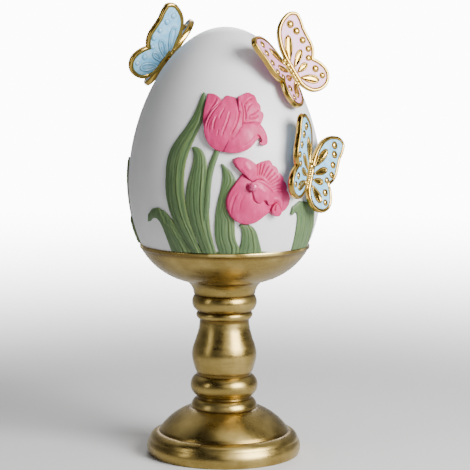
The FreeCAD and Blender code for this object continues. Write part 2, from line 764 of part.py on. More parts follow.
def flat_wing():
    """One right wing lying flat: the gold plate and the enamel in its upper and under pockets."""
    outline = wing_face()
    floor = outline.makeOffset2D(-wing_rim)
    raised = [drop_face(drop) for drop in drop_shares] + [dot_face(dot) for dot in dot_shares]
    upper_floor = floor.cut(raised).Faces[0]
    upper_floor.translate(UP * (wing_thickness - enamel_pocket_depth))
    plate = outline.extrude(UP * wing_thickness)
    plate = plate.cut(upper_floor.extrude(UP * (enamel_pocket_depth + overrun)))
    under_cut = floor.extrude(UP * (enamel_pocket_depth + overrun))
    under_cut.translate(UP * -overrun)
    plate = plate.cut(under_cut).Solids[0]
    upper_enamel = upper_floor.extrude(UP * enamel_thickness)
    under_enamel = floor.extrude(UP * enamel_thickness)
    under_enamel.translate(UP * (enamel_pocket_depth - enamel_thickness))
    return {"plate": plate, "upper": upper_enamel, "under": under_enamel}


def raised_pair(flat, rise):
    """The right and left copies of a flat wing's solid, moved to the hinges beside the body and raised."""
    right = flat.copy()
    right.translate(Vector(0, 0, wing_top_height - wing_thickness))
    right.rotate(AXIS_FOOT, Vector(0, 1, 0), -rise)
    right.translate(Vector(wing_hinge_offset, 0, 0))
    return [right, right.mirror(AXIS_FOOT, Vector(1, 0, 0))]


def butterfly_body():
    """The body along the Y axis: head, thorax and a tapering tail, turned as one."""
    neck_along = body_head_reach - 2 * body_head_radius
    waist_along = neck_along - 2 * body_thorax_radius
    head_tip = Vector(0, body_head_reach, 0)
    head_side = Vector(body_head_radius, body_head_reach - body_head_radius, 0)
    neck = Vector(body_waist_radius, neck_along, 0)
    thorax_side = Vector(body_thorax_radius, (neck_along + waist_along) / 2, 0)
    waist = Vector(body_waist_radius, waist_along, 0)
    tail_side = Vector(body_tail_radius, (waist_along - body_tail_reach) / 2, 0)
    tail_tip = Vector(0, -body_tail_reach, 0)
    profile = Part.Wire([
        curve([head_tip, head_side, neck]),
        curve([neck, thorax_side, waist]),
        curve([waist, tail_side, tail_tip]),
        line(tail_tip, head_tip),
    ])
    return Part.Face(profile).revolve(AXIS_FOOT, Vector(0, 1, 0), 360)


def seat_placement(place):
    """Where a butterfly's own frame lies: over its seat on the egg, headed, pitched and rolled."""
    azimuth, level_share, heading, pitch, roll, rise, stand_off = place
    seat, outward = peg_axis(place)
    turn = math.radians(azimuth)
    east = Vector(math.cos(turn), math.sin(turn), 0)
    north = outward.cross(east)
    on_egg = FreeCAD.Rotation(east, north, outward, "ZXY")
    headed = FreeCAD.Rotation(UP, heading)
    pitched = FreeCAD.Rotation(Vector(1, 0, 0), pitch)
    rolled = FreeCAD.Rotation(Vector(0, 1, 0), roll)
    rotation = on_egg.multiply(headed).multiply(pitched).multiply(rolled)
    return FreeCAD.Placement(seat + outward * stand_off, rotation)


def butterfly(place, wing, body):
    """One butterfly: its gold casting with peg and boss, its upper enamel and its under enamel."""
    rise, stand_off = place[5], place[6]
    seat, outward = peg_axis(place)
    matrix = seat_placement(place).toMatrix()
    casting = body.fuse(raised_pair(wing["plate"], rise)).removeSplitter()
    casting = casting.transformed(matrix)
    boss = Part.makeCylinder(boss_radius, stand_off - boss_seat_gap, seat + outward * boss_seat_gap, outward)
    peg = Part.makeCylinder(peg_radius, peg_depth + stand_off, seat - outward * peg_depth, outward)
    casting = casting.fuse([boss, peg])
    enamels = []
    for label in ("upper", "under"):
        halves = []
        for half in raised_pair(wing[label], rise):
            half = half.cut(body).transformed(matrix)
            halves.append(largest_solid(half.cut(boss)))
        enamels.append(Part.makeCompound(halves))
    return largest_solid(casting), enamels[0], enamels[1]


def build():
    """Every piece by its name."""
    egg_form = egg_solid(0, seat_level)
    pieces = {
        "felt_pad": felt_pad(),
        "pedestal": pedestal(),
        "egg_shell": egg_shell(egg_form),
    }
    relief = relief_pieces(egg_form)
    pieces.update(relief)
    bead_bed = ["lower_fold_petal", "lower_upper_petal", "lower_cup_petal"]
    pieces["dew_bead"] = dew_bead([relief[name] for name in bead_bed])
    wing = flat_wing()
    body = butterfly_body()
    for name, place in butterfly_places.items():
        casting, upper_enamel, under_enamel = butterfly(place, wing, body)
        pieces[name] = casting
        pieces[name + "_enamel_upper"] = upper_enamel
        pieces[name + "_enamel_under"] = under_enamel
    return pieces


os.makedirs("parts", exist_ok=True)
for piece_name, piece_shape in build().items():
    piece_shape.exportStep("parts/" + piece_name + ".step")
    print(piece_name, len(piece_shape.Solids), piece_shape.isValid(), round(piece_shape.Volume))
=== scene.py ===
import math

import bpy
import numpy as np
from bpy.props import FloatProperty, FloatVectorProperty, IntProperty, PointerProperty
from mathutils import Matrix, Vector, kdtree


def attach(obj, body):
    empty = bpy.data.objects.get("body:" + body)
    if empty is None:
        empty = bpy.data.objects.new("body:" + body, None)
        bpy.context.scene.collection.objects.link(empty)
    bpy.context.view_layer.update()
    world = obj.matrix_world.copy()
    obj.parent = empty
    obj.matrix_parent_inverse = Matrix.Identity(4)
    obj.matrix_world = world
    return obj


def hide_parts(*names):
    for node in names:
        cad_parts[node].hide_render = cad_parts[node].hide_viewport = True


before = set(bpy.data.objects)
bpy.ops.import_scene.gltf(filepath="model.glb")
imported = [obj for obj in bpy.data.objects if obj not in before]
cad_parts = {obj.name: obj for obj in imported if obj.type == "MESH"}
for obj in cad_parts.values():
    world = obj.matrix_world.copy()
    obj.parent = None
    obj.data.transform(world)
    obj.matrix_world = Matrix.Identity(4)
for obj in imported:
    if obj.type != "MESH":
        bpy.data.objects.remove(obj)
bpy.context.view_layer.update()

bl_info = {
    "name": "Egg Ornament",
    "version": (1, 0, 0),
    "blender": (4, 5, 0),
    "location": "3D View > Sidebar > Egg Ornament",
    "description": "Dresses the packed egg: gilt pedestal, carved tulips and leaves, enamelled butterflies",
    "category": "Add Mesh",
}

MM = 0.001
WHITE = (1, 1, 1, 1)
# Corners that lie closer than this are one, in a new mesh and in a copy of a solid's loose triangles
MERGE_REACH = 1e-6
SOLID_MERGE_REACH = 0.5e-6

# The egg's formula, the same as the solid's: half length, half width and taper, and the level of its centre
EGG_HALF_LENGTH = 92.0 * MM
EGG_HALF_WIDTH = 64.3 * MM
EGG_TAPER = 0.129
EGG_CENTRE = 196.87 * MM
# Past this share of its half length, towards a pole, the egg's slope is taken as it is there
EGG_POLE = 0.98

# The pedestal's mouldings from the recess under the foot up to the egg's seat, as (radius, level) in
# millimetres. A line goes straight from point to point, an arc takes three points, and a curve goes smoothly
# through them all.
MOULDINGS = [
    ("line", [(0.0, 1.5), (46.65, 1.5), (46.65, 0.3), (51.2, 0.3)]),
    ("arc", [(51.2, 0.3), (52.2, 3.6), (50.6, 10.0)]),
    ("arc", [(50.6, 10.0), (48.8, 13.5), (45.5, 15.3)]),
    ("line", [(45.5, 15.3), (44.3, 15.4), (44.1, 16.2)]),
    ("arc", [(44.1, 16.2), (35.5, 25.2), (23.6, 31.7)]),
    ("line", [(23.6, 31.7), (22.6, 31.9)]),
    ("arc", [(22.6, 31.9), (21.7, 35.1), (18.8, 38.3)]),
    ("line", [(18.8, 38.3), (18.5, 39.6)]),
    ("arc", [(18.5, 39.6), (22.9, 46.9), (18.7, 54.2)]),
    ("line", [(18.7, 54.2), (18.6, 55.5)]),
    ("curve", [(18.6, 55.5), (19.9, 58.4), (21.9, 66.6), (21.2, 73.0), (19.2, 79.1), (17.3, 85.8),
               (16.7, 91.2)]),
    ("line", [(16.7, 91.2), (17.1, 92.5)]),
    ("arc", [(17.1, 92.5), (19.0, 94.9), (18.2, 97.4)]),
    ("line", [(18.2, 97.4), (18.9, 98.1)]),
    ("arc", [(18.9, 98.1), (21.9, 103.6), (20.2, 109.1)]),
    ("line", [(20.2, 109.1), (20.8, 109.7)]),
    ("arc", [(20.8, 109.7), (22.4, 114.7), (26.4, 118.5)]),
    ("arc", [(26.4, 118.5), (44.4, 126.8), (56.4, 140.7)]),
    ("line", [(56.4, 140.7), (57.2, 141.3), (57.3, 142.8)]),
    ("arc", [(57.3, 142.8), (57.1, 143.4), (56.6, 143.6)]),
    ("line", [(56.6, 143.6), (55.7, 143.4), (54.9, 141.6), (18.15, 141.6), (18.15, 132.4), (0.0, 132.4)]),
]
# How far the painted shade in a crease between two mouldings reaches, in millimetres, and how strong it is
CREASE_REACH = 0.9
CREASE_SHADE = 0.85
# The levels, from the lip's own, between which its painted highlight sets in
LIP_HIGHLIGHT_LEVELS = (-0.5, 0.2)
PEDESTAL_EDGE_ANGLE = math.radians(38)

# The green band painted at the lip between the front leaves' roots. It fades in over these turns from the
# back, and from the upper to the lower of these levels, which a wave lifts by up to this height
LIP_LEVEL = 143.6 * MM
BAND_TURNS = (math.radians(148), math.radians(156))
BAND_LEVELS = (LIP_LEVEL + 0.6 * MM, LIP_LEVEL - 0.4 * MM)
BAND_WAVE = 3.0 * MM
# The scale of the waves in the band's edge
BAND_SCALE = 120.0
# The narrow gap between two roots where the band stands higher: its turn from the back, the turns from its
# middle over which it ends, and how much higher it is
ROOT_GAP_TURN = math.radians(167.5)
ROOT_GAP_SIDES = (math.radians(5.5), math.radians(3.5))
ROOT_GAP_RISE = 8.0 * MM

# A carving's lowest part, which smoothing moves less: up to what lift off the egg, and by what share it gives
SEAT_LIFT = 0.35 * MM
SEAT_GIVE = 0.4
# The lifts off the egg between which carving sets in, and between which the painted shade at a carving's foot
# ends
CARVED_LIFT = (0.25 * MM, 0.9 * MM)
FOOT_LIFT = (0.1 * MM, 0.9 * MM)
FOOT_SHADE = 0.6
# The shares of a carved line's length over which it fades in, how much wider than the cut its paint is
# (painted shade in a groove, a painted highlight on a ridge), and the depth or height in millimetres from
# which it is full
LINE_ENDS = (-0.02, 0.18)
PAINT_SPREAD = 1.15
FULL_PAINT_HEIGHT = 0.6

# Lines carved into the petals. Each is a list of (azimuth in degrees, level share) on the egg, then its half
# width and its height in millimetres: below zero cuts a groove with painted shade, above zero raises a ridge
# with a painted highlight. A level share counts from the egg's centre in half lengths.
PETAL_LINES = {
    "upper_front_petal": [
        ([(-1.9, 0.487), (-4.8, 0.456), (-7.4, 0.419), (-9.4, 0.378), (-10.6, 0.336), (-11.1, 0.295)],
         0.45, -0.5),
        ([(-4.9, 0.391), (-6.1, 0.358), (-6.7, 0.325), (-6.8, 0.292)], 0.4, -0.45),
        ([(-5.9, 0.391), (-7.1, 0.358), (-7.7, 0.325)], 0.4, 0.25),
        ([(-0.1, 0.453), (-1.7, 0.418), (-3.0, 0.391), (-3.3, 0.366)], 0.4, -0.4),
        ([(3.1, 0.428), (1.9, 0.379), (0.5, 0.33), (-1.1, 0.284), (-1.9, 0.247)], 0.42, -0.48),
        ([(2.0, 0.428), (0.8, 0.379), (-0.6, 0.33), (-2.2, 0.284)], 0.4, 0.28),
        ([(7.9, 0.477), (8.4, 0.428), (7.7, 0.379), (6.2, 0.33), (4.2, 0.289), (2.8, 0.256)], 0.45, -0.55),
        ([(6.8, 0.47), (7.2, 0.428), (6.6, 0.379), (5.1, 0.33), (3.2, 0.289)], 0.45, 0.3),
        ([(-3.7, 0.3), (-4.1, 0.276), (-4.6, 0.255)], 0.38, -0.4),
        ([(-7.8, 0.375), (-9.0, 0.34), (-9.4, 0.3), (-9.0, 0.265)], 0.38, -0.22),
    ],
    "upper_curled_petal": [
        ([(18.4, 0.262), (15.3, 0.221), (11.7, 0.189), (7.9, 0.168)], 0.7, 0.4),
        ([(18.6, 0.262), (20.1, 0.245), (20.9, 0.22), (20.6, 0.204)], 0.5, -1.2),
        ([(8.5, 0.3), (5.5, 0.255), (2.5, 0.22)], 0.6, -0.3),
        ([(11.1, 0.341), (14.2, 0.345), (17.6, 0.342), (20.3, 0.33)], 0.5, -0.4),
        ([(21.4, 0.311), (23.2, 0.277), (23.8, 0.24)], 0.6, 0.3),
    ],
    "upper_ruffled_petal": [
        ([(9.5, 0.49), (10.5, 0.45), (10.7, 0.4), (10.0, 0.355)], 0.5, -0.5),
        ([(11.8, 0.468), (12.1, 0.44), (12.4, 0.398), (12.0, 0.353)], 0.45, -0.6),
        ([(12.3, 0.468), (14.4, 0.491), (18.0, 0.509)], 0.45, -0.55),
        ([(13.3, 0.415), (14.1, 0.439), (15.7, 0.46), (17.7, 0.473)], 0.42, -0.5),
        ([(14.3, 0.392), (17.1, 0.4), (19.7, 0.416), (21.5, 0.434)], 0.42, -0.5),
        ([(13.4, 0.369), (16.4, 0.371), (19.2, 0.377), (21.0, 0.393)], 0.42, -0.45),
        ([(12.8, 0.482), (14.9, 0.505), (18.3, 0.523)], 0.5, 0.3),
        ([(14.5, 0.38), (17.2, 0.386), (20.2, 0.4)], 0.5, 0.3),
    ],
    "upper_left_petal": [
        ([(-4.4, 0.509), (-5.8, 0.472), (-8.0, 0.439), (-10.0, 0.393)], 0.5, 0.35),
        ([(-5.6, 0.52), (-7.2, 0.48), (-9.4, 0.44), (-11.2, 0.395)], 0.6, -0.3),
    ],
    "lower_cup_petal": [
        ([(7.2, -0.133), (5.3, -0.171), (4.2, -0.211), (3.5, -0.253), (3.5, -0.296)], 0.45, -0.4),
        ([(11.0, -0.144), (8.8, -0.182), (7.9, -0.225), (7.7, -0.268)], 0.45, -0.22),
        ([(6.0, -0.128), (3.9, -0.168), (2.8, -0.21), (2.2, -0.25)], 0.5, 0.25),
        ([(14.4, -0.127), (14.8, -0.162), (15.3, -0.191), (17.0, -0.206), (19.3, -0.196), (20.8, -0.191),
          (22.0, -0.206), (24.1, -0.221)], 0.45, -0.65),
        ([(12.1, -0.07), (11.3, -0.091), (12.0, -0.116), (13.8, -0.13)], 0.5, -0.5),
    ],
    "lower_upper_petal": [
        ([(7.7, 0.036), (9.7, 0.001), (11.3, -0.031), (12.7, -0.052)], 0.5, -0.4),
        ([(16.9, 0.066), (17.4, 0.031), (17.6, -0.004), (17.4, -0.036)], 0.5, -0.45),
        ([(10.3, 0.078), (11.9, 0.042), (13.6, 0.014)], 1.2, 0.35),
    ],
    "lower_fan_petal": [
        ([(18.5, 0.083), (18.3, 0.048), (18.2, 0.013), (18.0, -0.015)], 0.45, -0.6),
        ([(20.9, 0.072), (20.0, 0.04), (19.3, 0.005), (19.0, -0.023)], 0.45, -0.6),
        ([(23.2, 0.067), (21.8, 0.036), (20.7, 0.005), (19.9, -0.023)], 0.45, -0.6),
        ([(25.6, 0.049), (23.8, 0.025), (22.2, -0.003), (20.9, -0.03)], 0.45, -0.6),
        ([(27.5, 0.027), (25.5, 0.003), (23.6, -0.021), (22.1, -0.045)], 0.45, -0.6),
        ([(29.0, 0.002), (27.0, -0.022), (24.8, -0.042), (23.0, -0.059)], 0.45, -0.6),
        ([(30.6, -0.024), (28.6, -0.044), (26.0, -0.061), (24.2, -0.077)], 0.45, -0.6),
        ([(31.5, -0.053), (29.2, -0.066), (26.9, -0.079), (25.1, -0.092)], 0.45, -0.55),
        ([(32.1, -0.085), (29.8, -0.091), (27.6, -0.1), (25.7, -0.11)], 0.45, -0.5),
        ([(32.2, -0.113), (30.1, -0.114), (28.2, -0.118), (26.6, -0.125)], 0.45, -0.45),
        ([(32.1, -0.138), (30.1, -0.139), (28.5, -0.14)], 0.45, -0.4),
        ([(18.4, -0.043), (21.0, -0.058), (23.6, -0.087), (25.5, -0.12), (26.4, -0.153)], 0.5, -0.6),
        ([(25.5, -0.195), (28.0, -0.185), (31.0, -0.195), (32.5, -0.225), (32.0, -0.26)], 0.8, 0.6),
    ],
    "lower_fold_petal": [
        ([(16.6, -0.064), (19.5, -0.075), (22.4, -0.101), (24.9, -0.13), (25.8, -0.159)], 0.55, -0.35),
        ([(16.5, -0.09), (19.0, -0.11), (21.5, -0.14)], 1.0, 0.3),
    ],
    "lower_small_curl": [
        ([(28.4, -0.211), (30.1, -0.23), (31.2, -0.252), (31.5, -0.278)], 0.45, -0.7),
        ([(28.2, -0.225), (27.6, -0.25), (27.5, -0.275)], 0.45, -0.7),
    ],
}

# Unevenness: how much the fine one counts beside the broad one, and between which values its mask sets in
FINE_SHARE = 0.12
MASK_RANGE = (0.35, 0.65)
# Streaks in the carvings' paint: the values between which they set in, and how much the pale and the dark
# ones count
PALE_STREAKS, PALE_SHARE = (0.48, 0.72), 0.55
DARK_STREAKS, DARK_SHARE = (0.52, 0.3), 0.35
# Ranges as spread takes them: the value's, and what it becomes
STREAK_ROUGHNESS = (0.3, 0.7, 0.5, 0.36)
BRIGHT_PATCHES = (0.42, 0.68, 0.0, 0.75)
GLAZE_STREAKS = (0.6, 0.35, 0.0, 0.16)
GILDING_ROUGHNESS = (0.7, 1.3)
# Specks in gilding: their scale, and how much they stand out
SPECK_SCALE, SPECK_SHARE = 1500.0, 0.3
# The places of the lip with a painted highlight: their scale, the values between which they set in, and how
# bright they are
LIP_HIGHLIGHT_SCALE, LIP_HIGHLIGHT_RANGE, LIP_HIGHLIGHT_GAIN = 32.0, (0.46, 0.54), 2.2
# How much a crease roughens the gold plate, and how much the carved grain stands out
CREASE_ROUGHNESS = 0.35
GRAIN_HEIGHT = 1.4
# How dark the white paint's patches and the painted shade in the enamel's hollows are, and how pale the
# enamel's and the felt's
WHITE_GAIN, HOLLOW_SHADE_GAIN, PALE_ENAMEL, FELT_GAIN = 0.965, 0.12, 0.18, 2.2
# Each material's surface: the scales of its broad and fine unevenness, its bump's strength and its height in
# millimetres, and its roughness where it is smoothest and roughest
SURFACES = {
    "white": {"unevenness": (45.0, 1100.0), "bump": (0.25, 0.25), "roughness": (0.42, 0.5)},
    "carved": {"unevenness": (260.0, 1600.0), "bump": (0.4, 0.12)},
    "gilt": {"bump": (0.06, 0.1), "roughness": (0.26, 0.36)},
    "gold": {"bump": (0.2, 0.15), "roughness": (0.1, 0.22)},
    "enamel": {"unevenness": (300.0, 2200.0), "bump": (0.3, 0.15), "roughness": (0.32, 0.45)},
    "bead": {"unevenness": (500.0, 2200.0), "bump": (0.25, 0.3)},
    "felt": {"bump": (0.6, 0.3)},
}

# Steps in each arc and curve of the pedestal's outline, in each arc of a wing's, and between a drop's points
MOULDING_ARC_STEPS, MOULDING_CURVE_STEPS = 14, 7
WING_ARC_STEPS = 9
DROP_STEPS = 5
# Facets round a bed and a boss, and round and along a dot and a lump of the body
BED_FACETS, BOSS_FACETS = 24, 32
DOT_FACETS, LUMP_FACETS = (20, 12), (24, 16)

# Size of the brush marks across and along a petal and a leaf
PETAL_BRUSH = (4 * MM, 9 * MM)
LEAF_BRUSH = (0.9 * MM, 13 * MM)

# Veins of every leaf, as shares of its width from the left, each with its depth in millimetres
LEAF_VEINS = [(0.17, 0.2), (0.33, 0.34), (0.5, 0.2), (0.63, 0.46), (0.8, 0.42)]
# How veins sway aside, how their depth changes and how the fold sways: by what share, over what height
VEIN_SWAY = (0.03, 11 * MM)
VEIN_CHANGE = (0.35, 17 * MM)
FOLD_SWAY = (0.05, 19 * MM)
# Shifts of these waves in radians: of the sway and of the depth from vein to vein, and of the depth from leaf
# to leaf
SWAY_SHIFT, CHANGE_SHIFT, LEAF_SHIFT = 1.9, 2.3, 1.7
# How far the grain is shifted from leaf to leaf
GRAIN_SHIFT = 7
# Half width of a vein's cut and of its painted shade, and the depth in millimetres at which the shade is full
VEIN_REACH = 0.45 * MM
VEIN_SHADE_REACH = 0.42 * MM
VEIN_FULL_SHADE = 0.7
# The fold along a leaf: its share of the width from the left, its half width, its height over the rest of the
# leaf, and the strength of the painted highlight on it. It keeps the solid's height, and the rest lies lower.
FOLD_PLACE = 0.68
FOLD_REACH = 0.7 * MM
FOLD_HEIGHT = 0.3 * MM
FOLD_HIGHLIGHT = 0.55
# The shares of the width over which the right edge gets a painted highlight, and the widths over which veins
# and fold fade in
LIT_EDGE_HIGHLIGHT = (0.88, 0.99)
LEAF_FADE_WIDTHS = (3.0 * MM, 8.0 * MM)
# Height of the bands in which a leaf's sides are found
LEAF_STEP = 1.5 * MM

# A wing's outline from the front root round to the tail root, then the drops and dots on it, in millimetres.
# Across is outward from the hinge and along is towards the head. Every run of three points is one arc.
WING_OUTLINE = [
    (0.3, 8.4), (1.6, 16.0), (4.9, 23.9), (10.9, 29.9), (16.9, 32.1), (22.5, 31.8), (26.0, 28.3),
    (25.6, 23.4), (24.2, 18.5), (23.8, 13.6), (23.5, 7.9), (22.2, 3.0), (18.6, -1.9), (21.5, -6.8),
    (22.8, -11.4), (21.2, -18.0), (16.5, -21.8), (10.5, -22.3), (5.2, -20.1), (1.6, -15.5), (0.0, -10.6),
]
WING_DROPS = [  # root, then tip, then half width
    ((2.1, 5.2), (10.9, 20.2), 2.6),
    ((2.9, 0.3), (13.7, 7.5), 2.15),
    ((3.0, -3.6), (12.0, -2.3), 2.05),
    ((2.9, -7.6), (13.2, -15.9), 2.7),
]
# A drop's side from root to tip: along as a share of its length, aside as a share of its half width
DROP_SIDE = [(0.0, 0.0), (0.08, 0.32), (0.3, 0.74), (0.62, 1.0), (0.88, 0.72), (1.0, 0.0)]
WING_DOTS = [  # place, then radius
    ((16.5, 25.3), 2.3), ((17.8, 19.3), 2.2), ((18.1, 12.0), 2.0), ((18.3, 5.2), 1.8),
    ((15.0, 0.2), 1.75), ((15.3, -8.3), 2.1), ((17.0, -14.6), 1.75),
]
# The rim's section from the hinge plane: inward from the outline, and height above or below the plane
UPPER_RIM = [
    (0.05, 0.35), (0.22, 0.8), (0.65, 1.18), (1.25, 1.3), (1.8, 1.18), (2.1, 0.9), (2.18, 0.86), (2.55, 0.85),
    (2.6, 0.45),
]
UNDER_RIM = [
    (0.0, 1.4), (0.12, 1.95), (0.5, 2.45), (1.1, 2.7), (1.8, 2.66), (2.45, 2.4), (2.8, 2.2), (2.9, 1.7),
]
# The height band at the inner foot of the upper rim that is darkened with painted shade
LEDGE_BAND = 0.06
# The rings of a raised drop, from its foot in: inward, and height above the enamel
DROP_RINGS = [(0.0, 0.35), (0.14, 0.55), (0.36, 0.6), (0.58, 0.45), (0.8, 0.2), (1.0, 0.1)]
# The share of a drop's length towards which its rings draw together, and how many times the inward step its
# length loses
DROP_MIDDLE = 0.56
DROP_TAPER = 2.2
# How deep drops and their beds are set into the enamel, how far the dark bed of painted shadow round a raised
# drop or dot reaches beyond it, and the thickness of the bed over the enamel
SETTING_DEPTH = 0.2
BED_REACH = 0.42
BED_THICKNESS = 0.07
# How deep the middle of a gold dot lies in the enamel
DOT_DEPTH = 0.15
# The enamel of the upper side: how far its face lies from the hinge plane, and its edge from the outline
UPPER_ENAMEL_LEVEL = 0.8
UPPER_ENAMEL_INSET = 2.45
# The enamel of the under side, in the same way. Its back lies inside the wing, and it reaches further to the
# hinge.
UNDER_ENAMEL_LEVEL = 2.1
UNDER_ENAMEL_INSET = 2.7
UNDER_ENAMEL_BACK = 0.5
UNDER_HINGE_REACH = 1.5
# Which corners of the enamel lie by the hinge: those up to the first distance inside its edge, and within the
# outline's ends by the second
HINGE_CORNERS = (1.2, 0.4)
# The crown of the enamel: inward from its edge, and height over its edge
ENAMEL_CROWN = [(0.25, 0.07), (0.7, 0.1)]
# The drops and dots under the enamel of the under side: stretch of the drops' height, the dots' share of the
# gold ones' radius, their height and the depth of their middles
UNDER_DROP_STRETCH = 1.15
UNDER_DOT_SHARE = 0.75
UNDER_DOT_HEIGHT = 0.9 * MM
UNDER_DOT_DEPTH = 0.1
# What counts as raised and as low over the under side's enamel, and how far painted shade reaches from a
# raised place into a low one
RAISED_HEIGHT = 0.18
HOLLOW_DEPTH = -0.12
HOLLOW_REACH = 0.5
# The strip of the under side's rim that is sunk beside the body: where it ends and is whole across, and from
# the outline's ends, and its level
HINGE_STRIP_ACROSS = (3.4, 2.6)
HINGE_STRIP_ALONG = (0.8, 2.8)
HINGE_STRIP_LEVEL = 1.6
# Distance of the wings' hinges from the middle of the body
WING_HINGE = 1.2
# Face size of the skins that melt lumps or embossed enamel together
SKIN_GRAIN = 0.22 * MM
# The boss under the body: its clearance from the egg and the bevel of its edges
BOSS_CLEARANCE = 0.05 * MM
BOSS_BEVEL = 0.4 * MM
CASTING_EDGE_ANGLE = math.radians(50)
# The body's lumps from head to tail: place along, radius across and half length, in millimetres
BODY_LUMPS = [
    (7.6, 2.0, 1.9), (4.0, 2.7, 2.8), (0.3, 2.15, 2.0), (-2.6, 2.3, 1.9),
    (-5.3, 2.05, 1.8), (-7.8, 1.75, 1.7), (-10.2, 1.35, 1.7),
]

# Butterflies: azimuth in degrees, level share, heading, pitch, roll and wing rise in degrees, and the body's
# distance from the egg in millimetres
BUTTERFLIES = {
    "butterfly_pink": (61.0, 0.662, 17.7, 4.6, -19.9, 21.3, 5.0),
    "butterfly_blue_right": (52.9, -0.022, -23.9, -1.4, 0.0, 11.6, 4.0),
    "butterfly_blue_left": (-112.2, 0.734, 16.5, 2.8, -6.2, 33.6, 4.4),
}


class OrnamentSizes(bpy.types.PropertyGroup):
    """Sizes that a user may change."""

    petal_grain: FloatProperty(
        name="Petal grain", description="Face size of the carved petals", default=0.27 * MM, unit="LENGTH")
    leaf_grain: FloatProperty(
        name="Leaf grain", description="Face size of the carved leaves", default=0.34 * MM, unit="LENGTH")
    softness: IntProperty(
        name="Softness", description="How many times a carving is smoothed before its lines are cut",
        default=5, min=0)
    lathe_steps: IntProperty(
        name="Lathe steps", description="Steps round the pedestal", default=144, min=12)
    dot_height: FloatProperty(
        name="Dot height", description="Height of the largest gold dot over its middle", default=1.2 * MM,
        unit="LENGTH")
    drop_stretch: FloatProperty(
        name="Drop stretch", description="How many times its own height a gold drop stands",
        default=1.0, min=0.2, max=3.0, subtype="FACTOR")
    boss_radius: FloatProperty(
        name="Boss radius", description="Radius of the foot that holds a butterfly", default=2.4 * MM,
        unit="LENGTH")


def colour_property(name, description, default):
    return FloatVectorProperty(
        name=name, description=description, default=default, size=3, subtype="COLOR", min=0.0, max=1.0)


class OrnamentColours(bpy.types.PropertyGroup):
    """Colours that a user may change."""

    white: colour_property("White", "The egg's white paint", (0.75, 0.75, 0.76))
    leaf: colour_property("Leaf", "The leaves' green paint", (0.082, 0.138, 0.057))
    # Leaf shade is painted shade in the grooves; leaf light colours the olive streaks and the painted
    # highlight
    leaf_shade: colour_property("Leaf shade", "Dark wash in the leaves' grooves", (0.018, 0.042, 0.01))
    leaf_light: colour_property("Leaf light", "Olive streaks along the leaves", (0.17, 0.225, 0.065))
    tulip: colour_property("Tulip", "The tulips' pink paint", (0.5, 0.028, 0.13))
    # Tulip shade is painted shade in the grooves; tulip light colours pale streaks, the painted highlight and
    # the bead
    tulip_shade: colour_property("Tulip shade", "Dark wash in the petals' grooves", (0.36, 0.008, 0.06))
    tulip_light: colour_property("Tulip light", "Dry brushing high on the petals", (0.74, 0.095, 0.26))
    gilt: colour_property("Gilt", "The pedestal's antique gold", (0.3, 0.212, 0.062))
    # Gilt light colours random worn patches, and the painted highlight on the lip
    gilt_light: colour_property("Gilt light", "Worn bright gold on the pedestal", (0.47, 0.35, 0.12))
    # Gilt shade is painted shade in the pedestal's creases
    gilt_shade: colour_property("Gilt shade", "Brown glaze in the pedestal's creases", (0.12, 0.07, 0.015))
    gold: colour_property("Gold", "The butterflies' gold plate", (0.54, 0.36, 0.08))
    # Gold shade is painted shade in the rims' inner corners and the beds round drops and dots
    gold_shade: colour_property("Gold shade", "Dark glaze in the gold plate", (0.14, 0.075, 0.014))
    enamel_pink: colour_property("Pink enamel", "Enamel of the pink butterfly", (0.75, 0.29, 0.53))
    enamel_blue: colour_property("Blue enamel", "Enamel of the blue butterflies", (0.16, 0.5, 0.76))
    felt: colour_property("Felt", "The felt under the foot", (0.035, 0.03, 0.025))


# Shader node groups that several materials share


def new_group(name, inputs, outputs):
    """A shader node group with its sockets, as (kind, name, default) and (kind, name)."""
    group = bpy.data.node_groups.new(name, "ShaderNodeTree")
    for kind, label, default in inputs:
        socket = group.interface.new_socket(name=label, in_out="INPUT", socket_type="NodeSocket" + kind)
        socket.default_value = default
    for kind, label in outputs:
        group.interface.new_socket(name=label, in_out="OUTPUT", socket_type="NodeSocket" + kind)
    group.nodes.new("NodeGroupInput")
    group.nodes.new("NodeGroupOutput")
    return group


def add_node(tree, kind, settings=None, **inputs):
    """A node with its settings and its inputs. An input that is a socket is linked, and any other is set."""
    node = tree.nodes.new(kind)
    for key, value in (settings or {}).items():
        setattr(node, key, value)
    for key, value in inputs.items():
        socket = node.inputs[int(key[1:])] if key[1:].isdigit() else node.inputs[key.replace("_", " ")]
        if isinstance(value, bpy.types.NodeSocket):
            tree.links.new(value, socket)
        else:
            socket.default_value = value
    return node


def calculate(tree, operation, *values, clamp=False):
    """What one step of arithmetic makes of its values."""
    settings = {"operation": operation, "use_clamp": clamp}
    inputs = {"_" + str(index): value for index, value in enumerate(values)}
    return add_node(tree, "ShaderNodeMath", settings, **inputs).outputs[0]


def noise(tree, place, scale, detail=2.0, roughness=0.5):
    """Cloudy unevenness over a place, from 0 to 1."""
    inputs = {"Vector": place, "Scale": scale, "Detail": detail, "Roughness": roughness}
    return add_node(tree, "ShaderNodeTexNoise", None, **inputs).outputs[0]


def apart(tree, place):
    """The three parts of a place, along X, Y and Z."""
    return add_node(tree, "ShaderNodeSeparateXYZ", None, Vector=place).outputs


def mix_colours(tree, share, first, second):
    """The colour that lies between two."""
    settings = {"data_type": "RGBA", "clamp_factor": True}
    return add_node(tree, "ShaderNodeMix", settings, _0=share, _6=first, _7=second).outputs[2]


def spread(tree, value, low, high, to_low=0.0, to_high=1.0):
    """A value spread from one range to another, and held inside it."""
    settings = {"clamp": True, "interpolation_type": "SMOOTHSTEP"}
    node = add_node(tree, "ShaderNodeMapRange", settings, _0=value, _1=low, _2=high, _3=to_low, _4=to_high)
    return node.outputs[0]


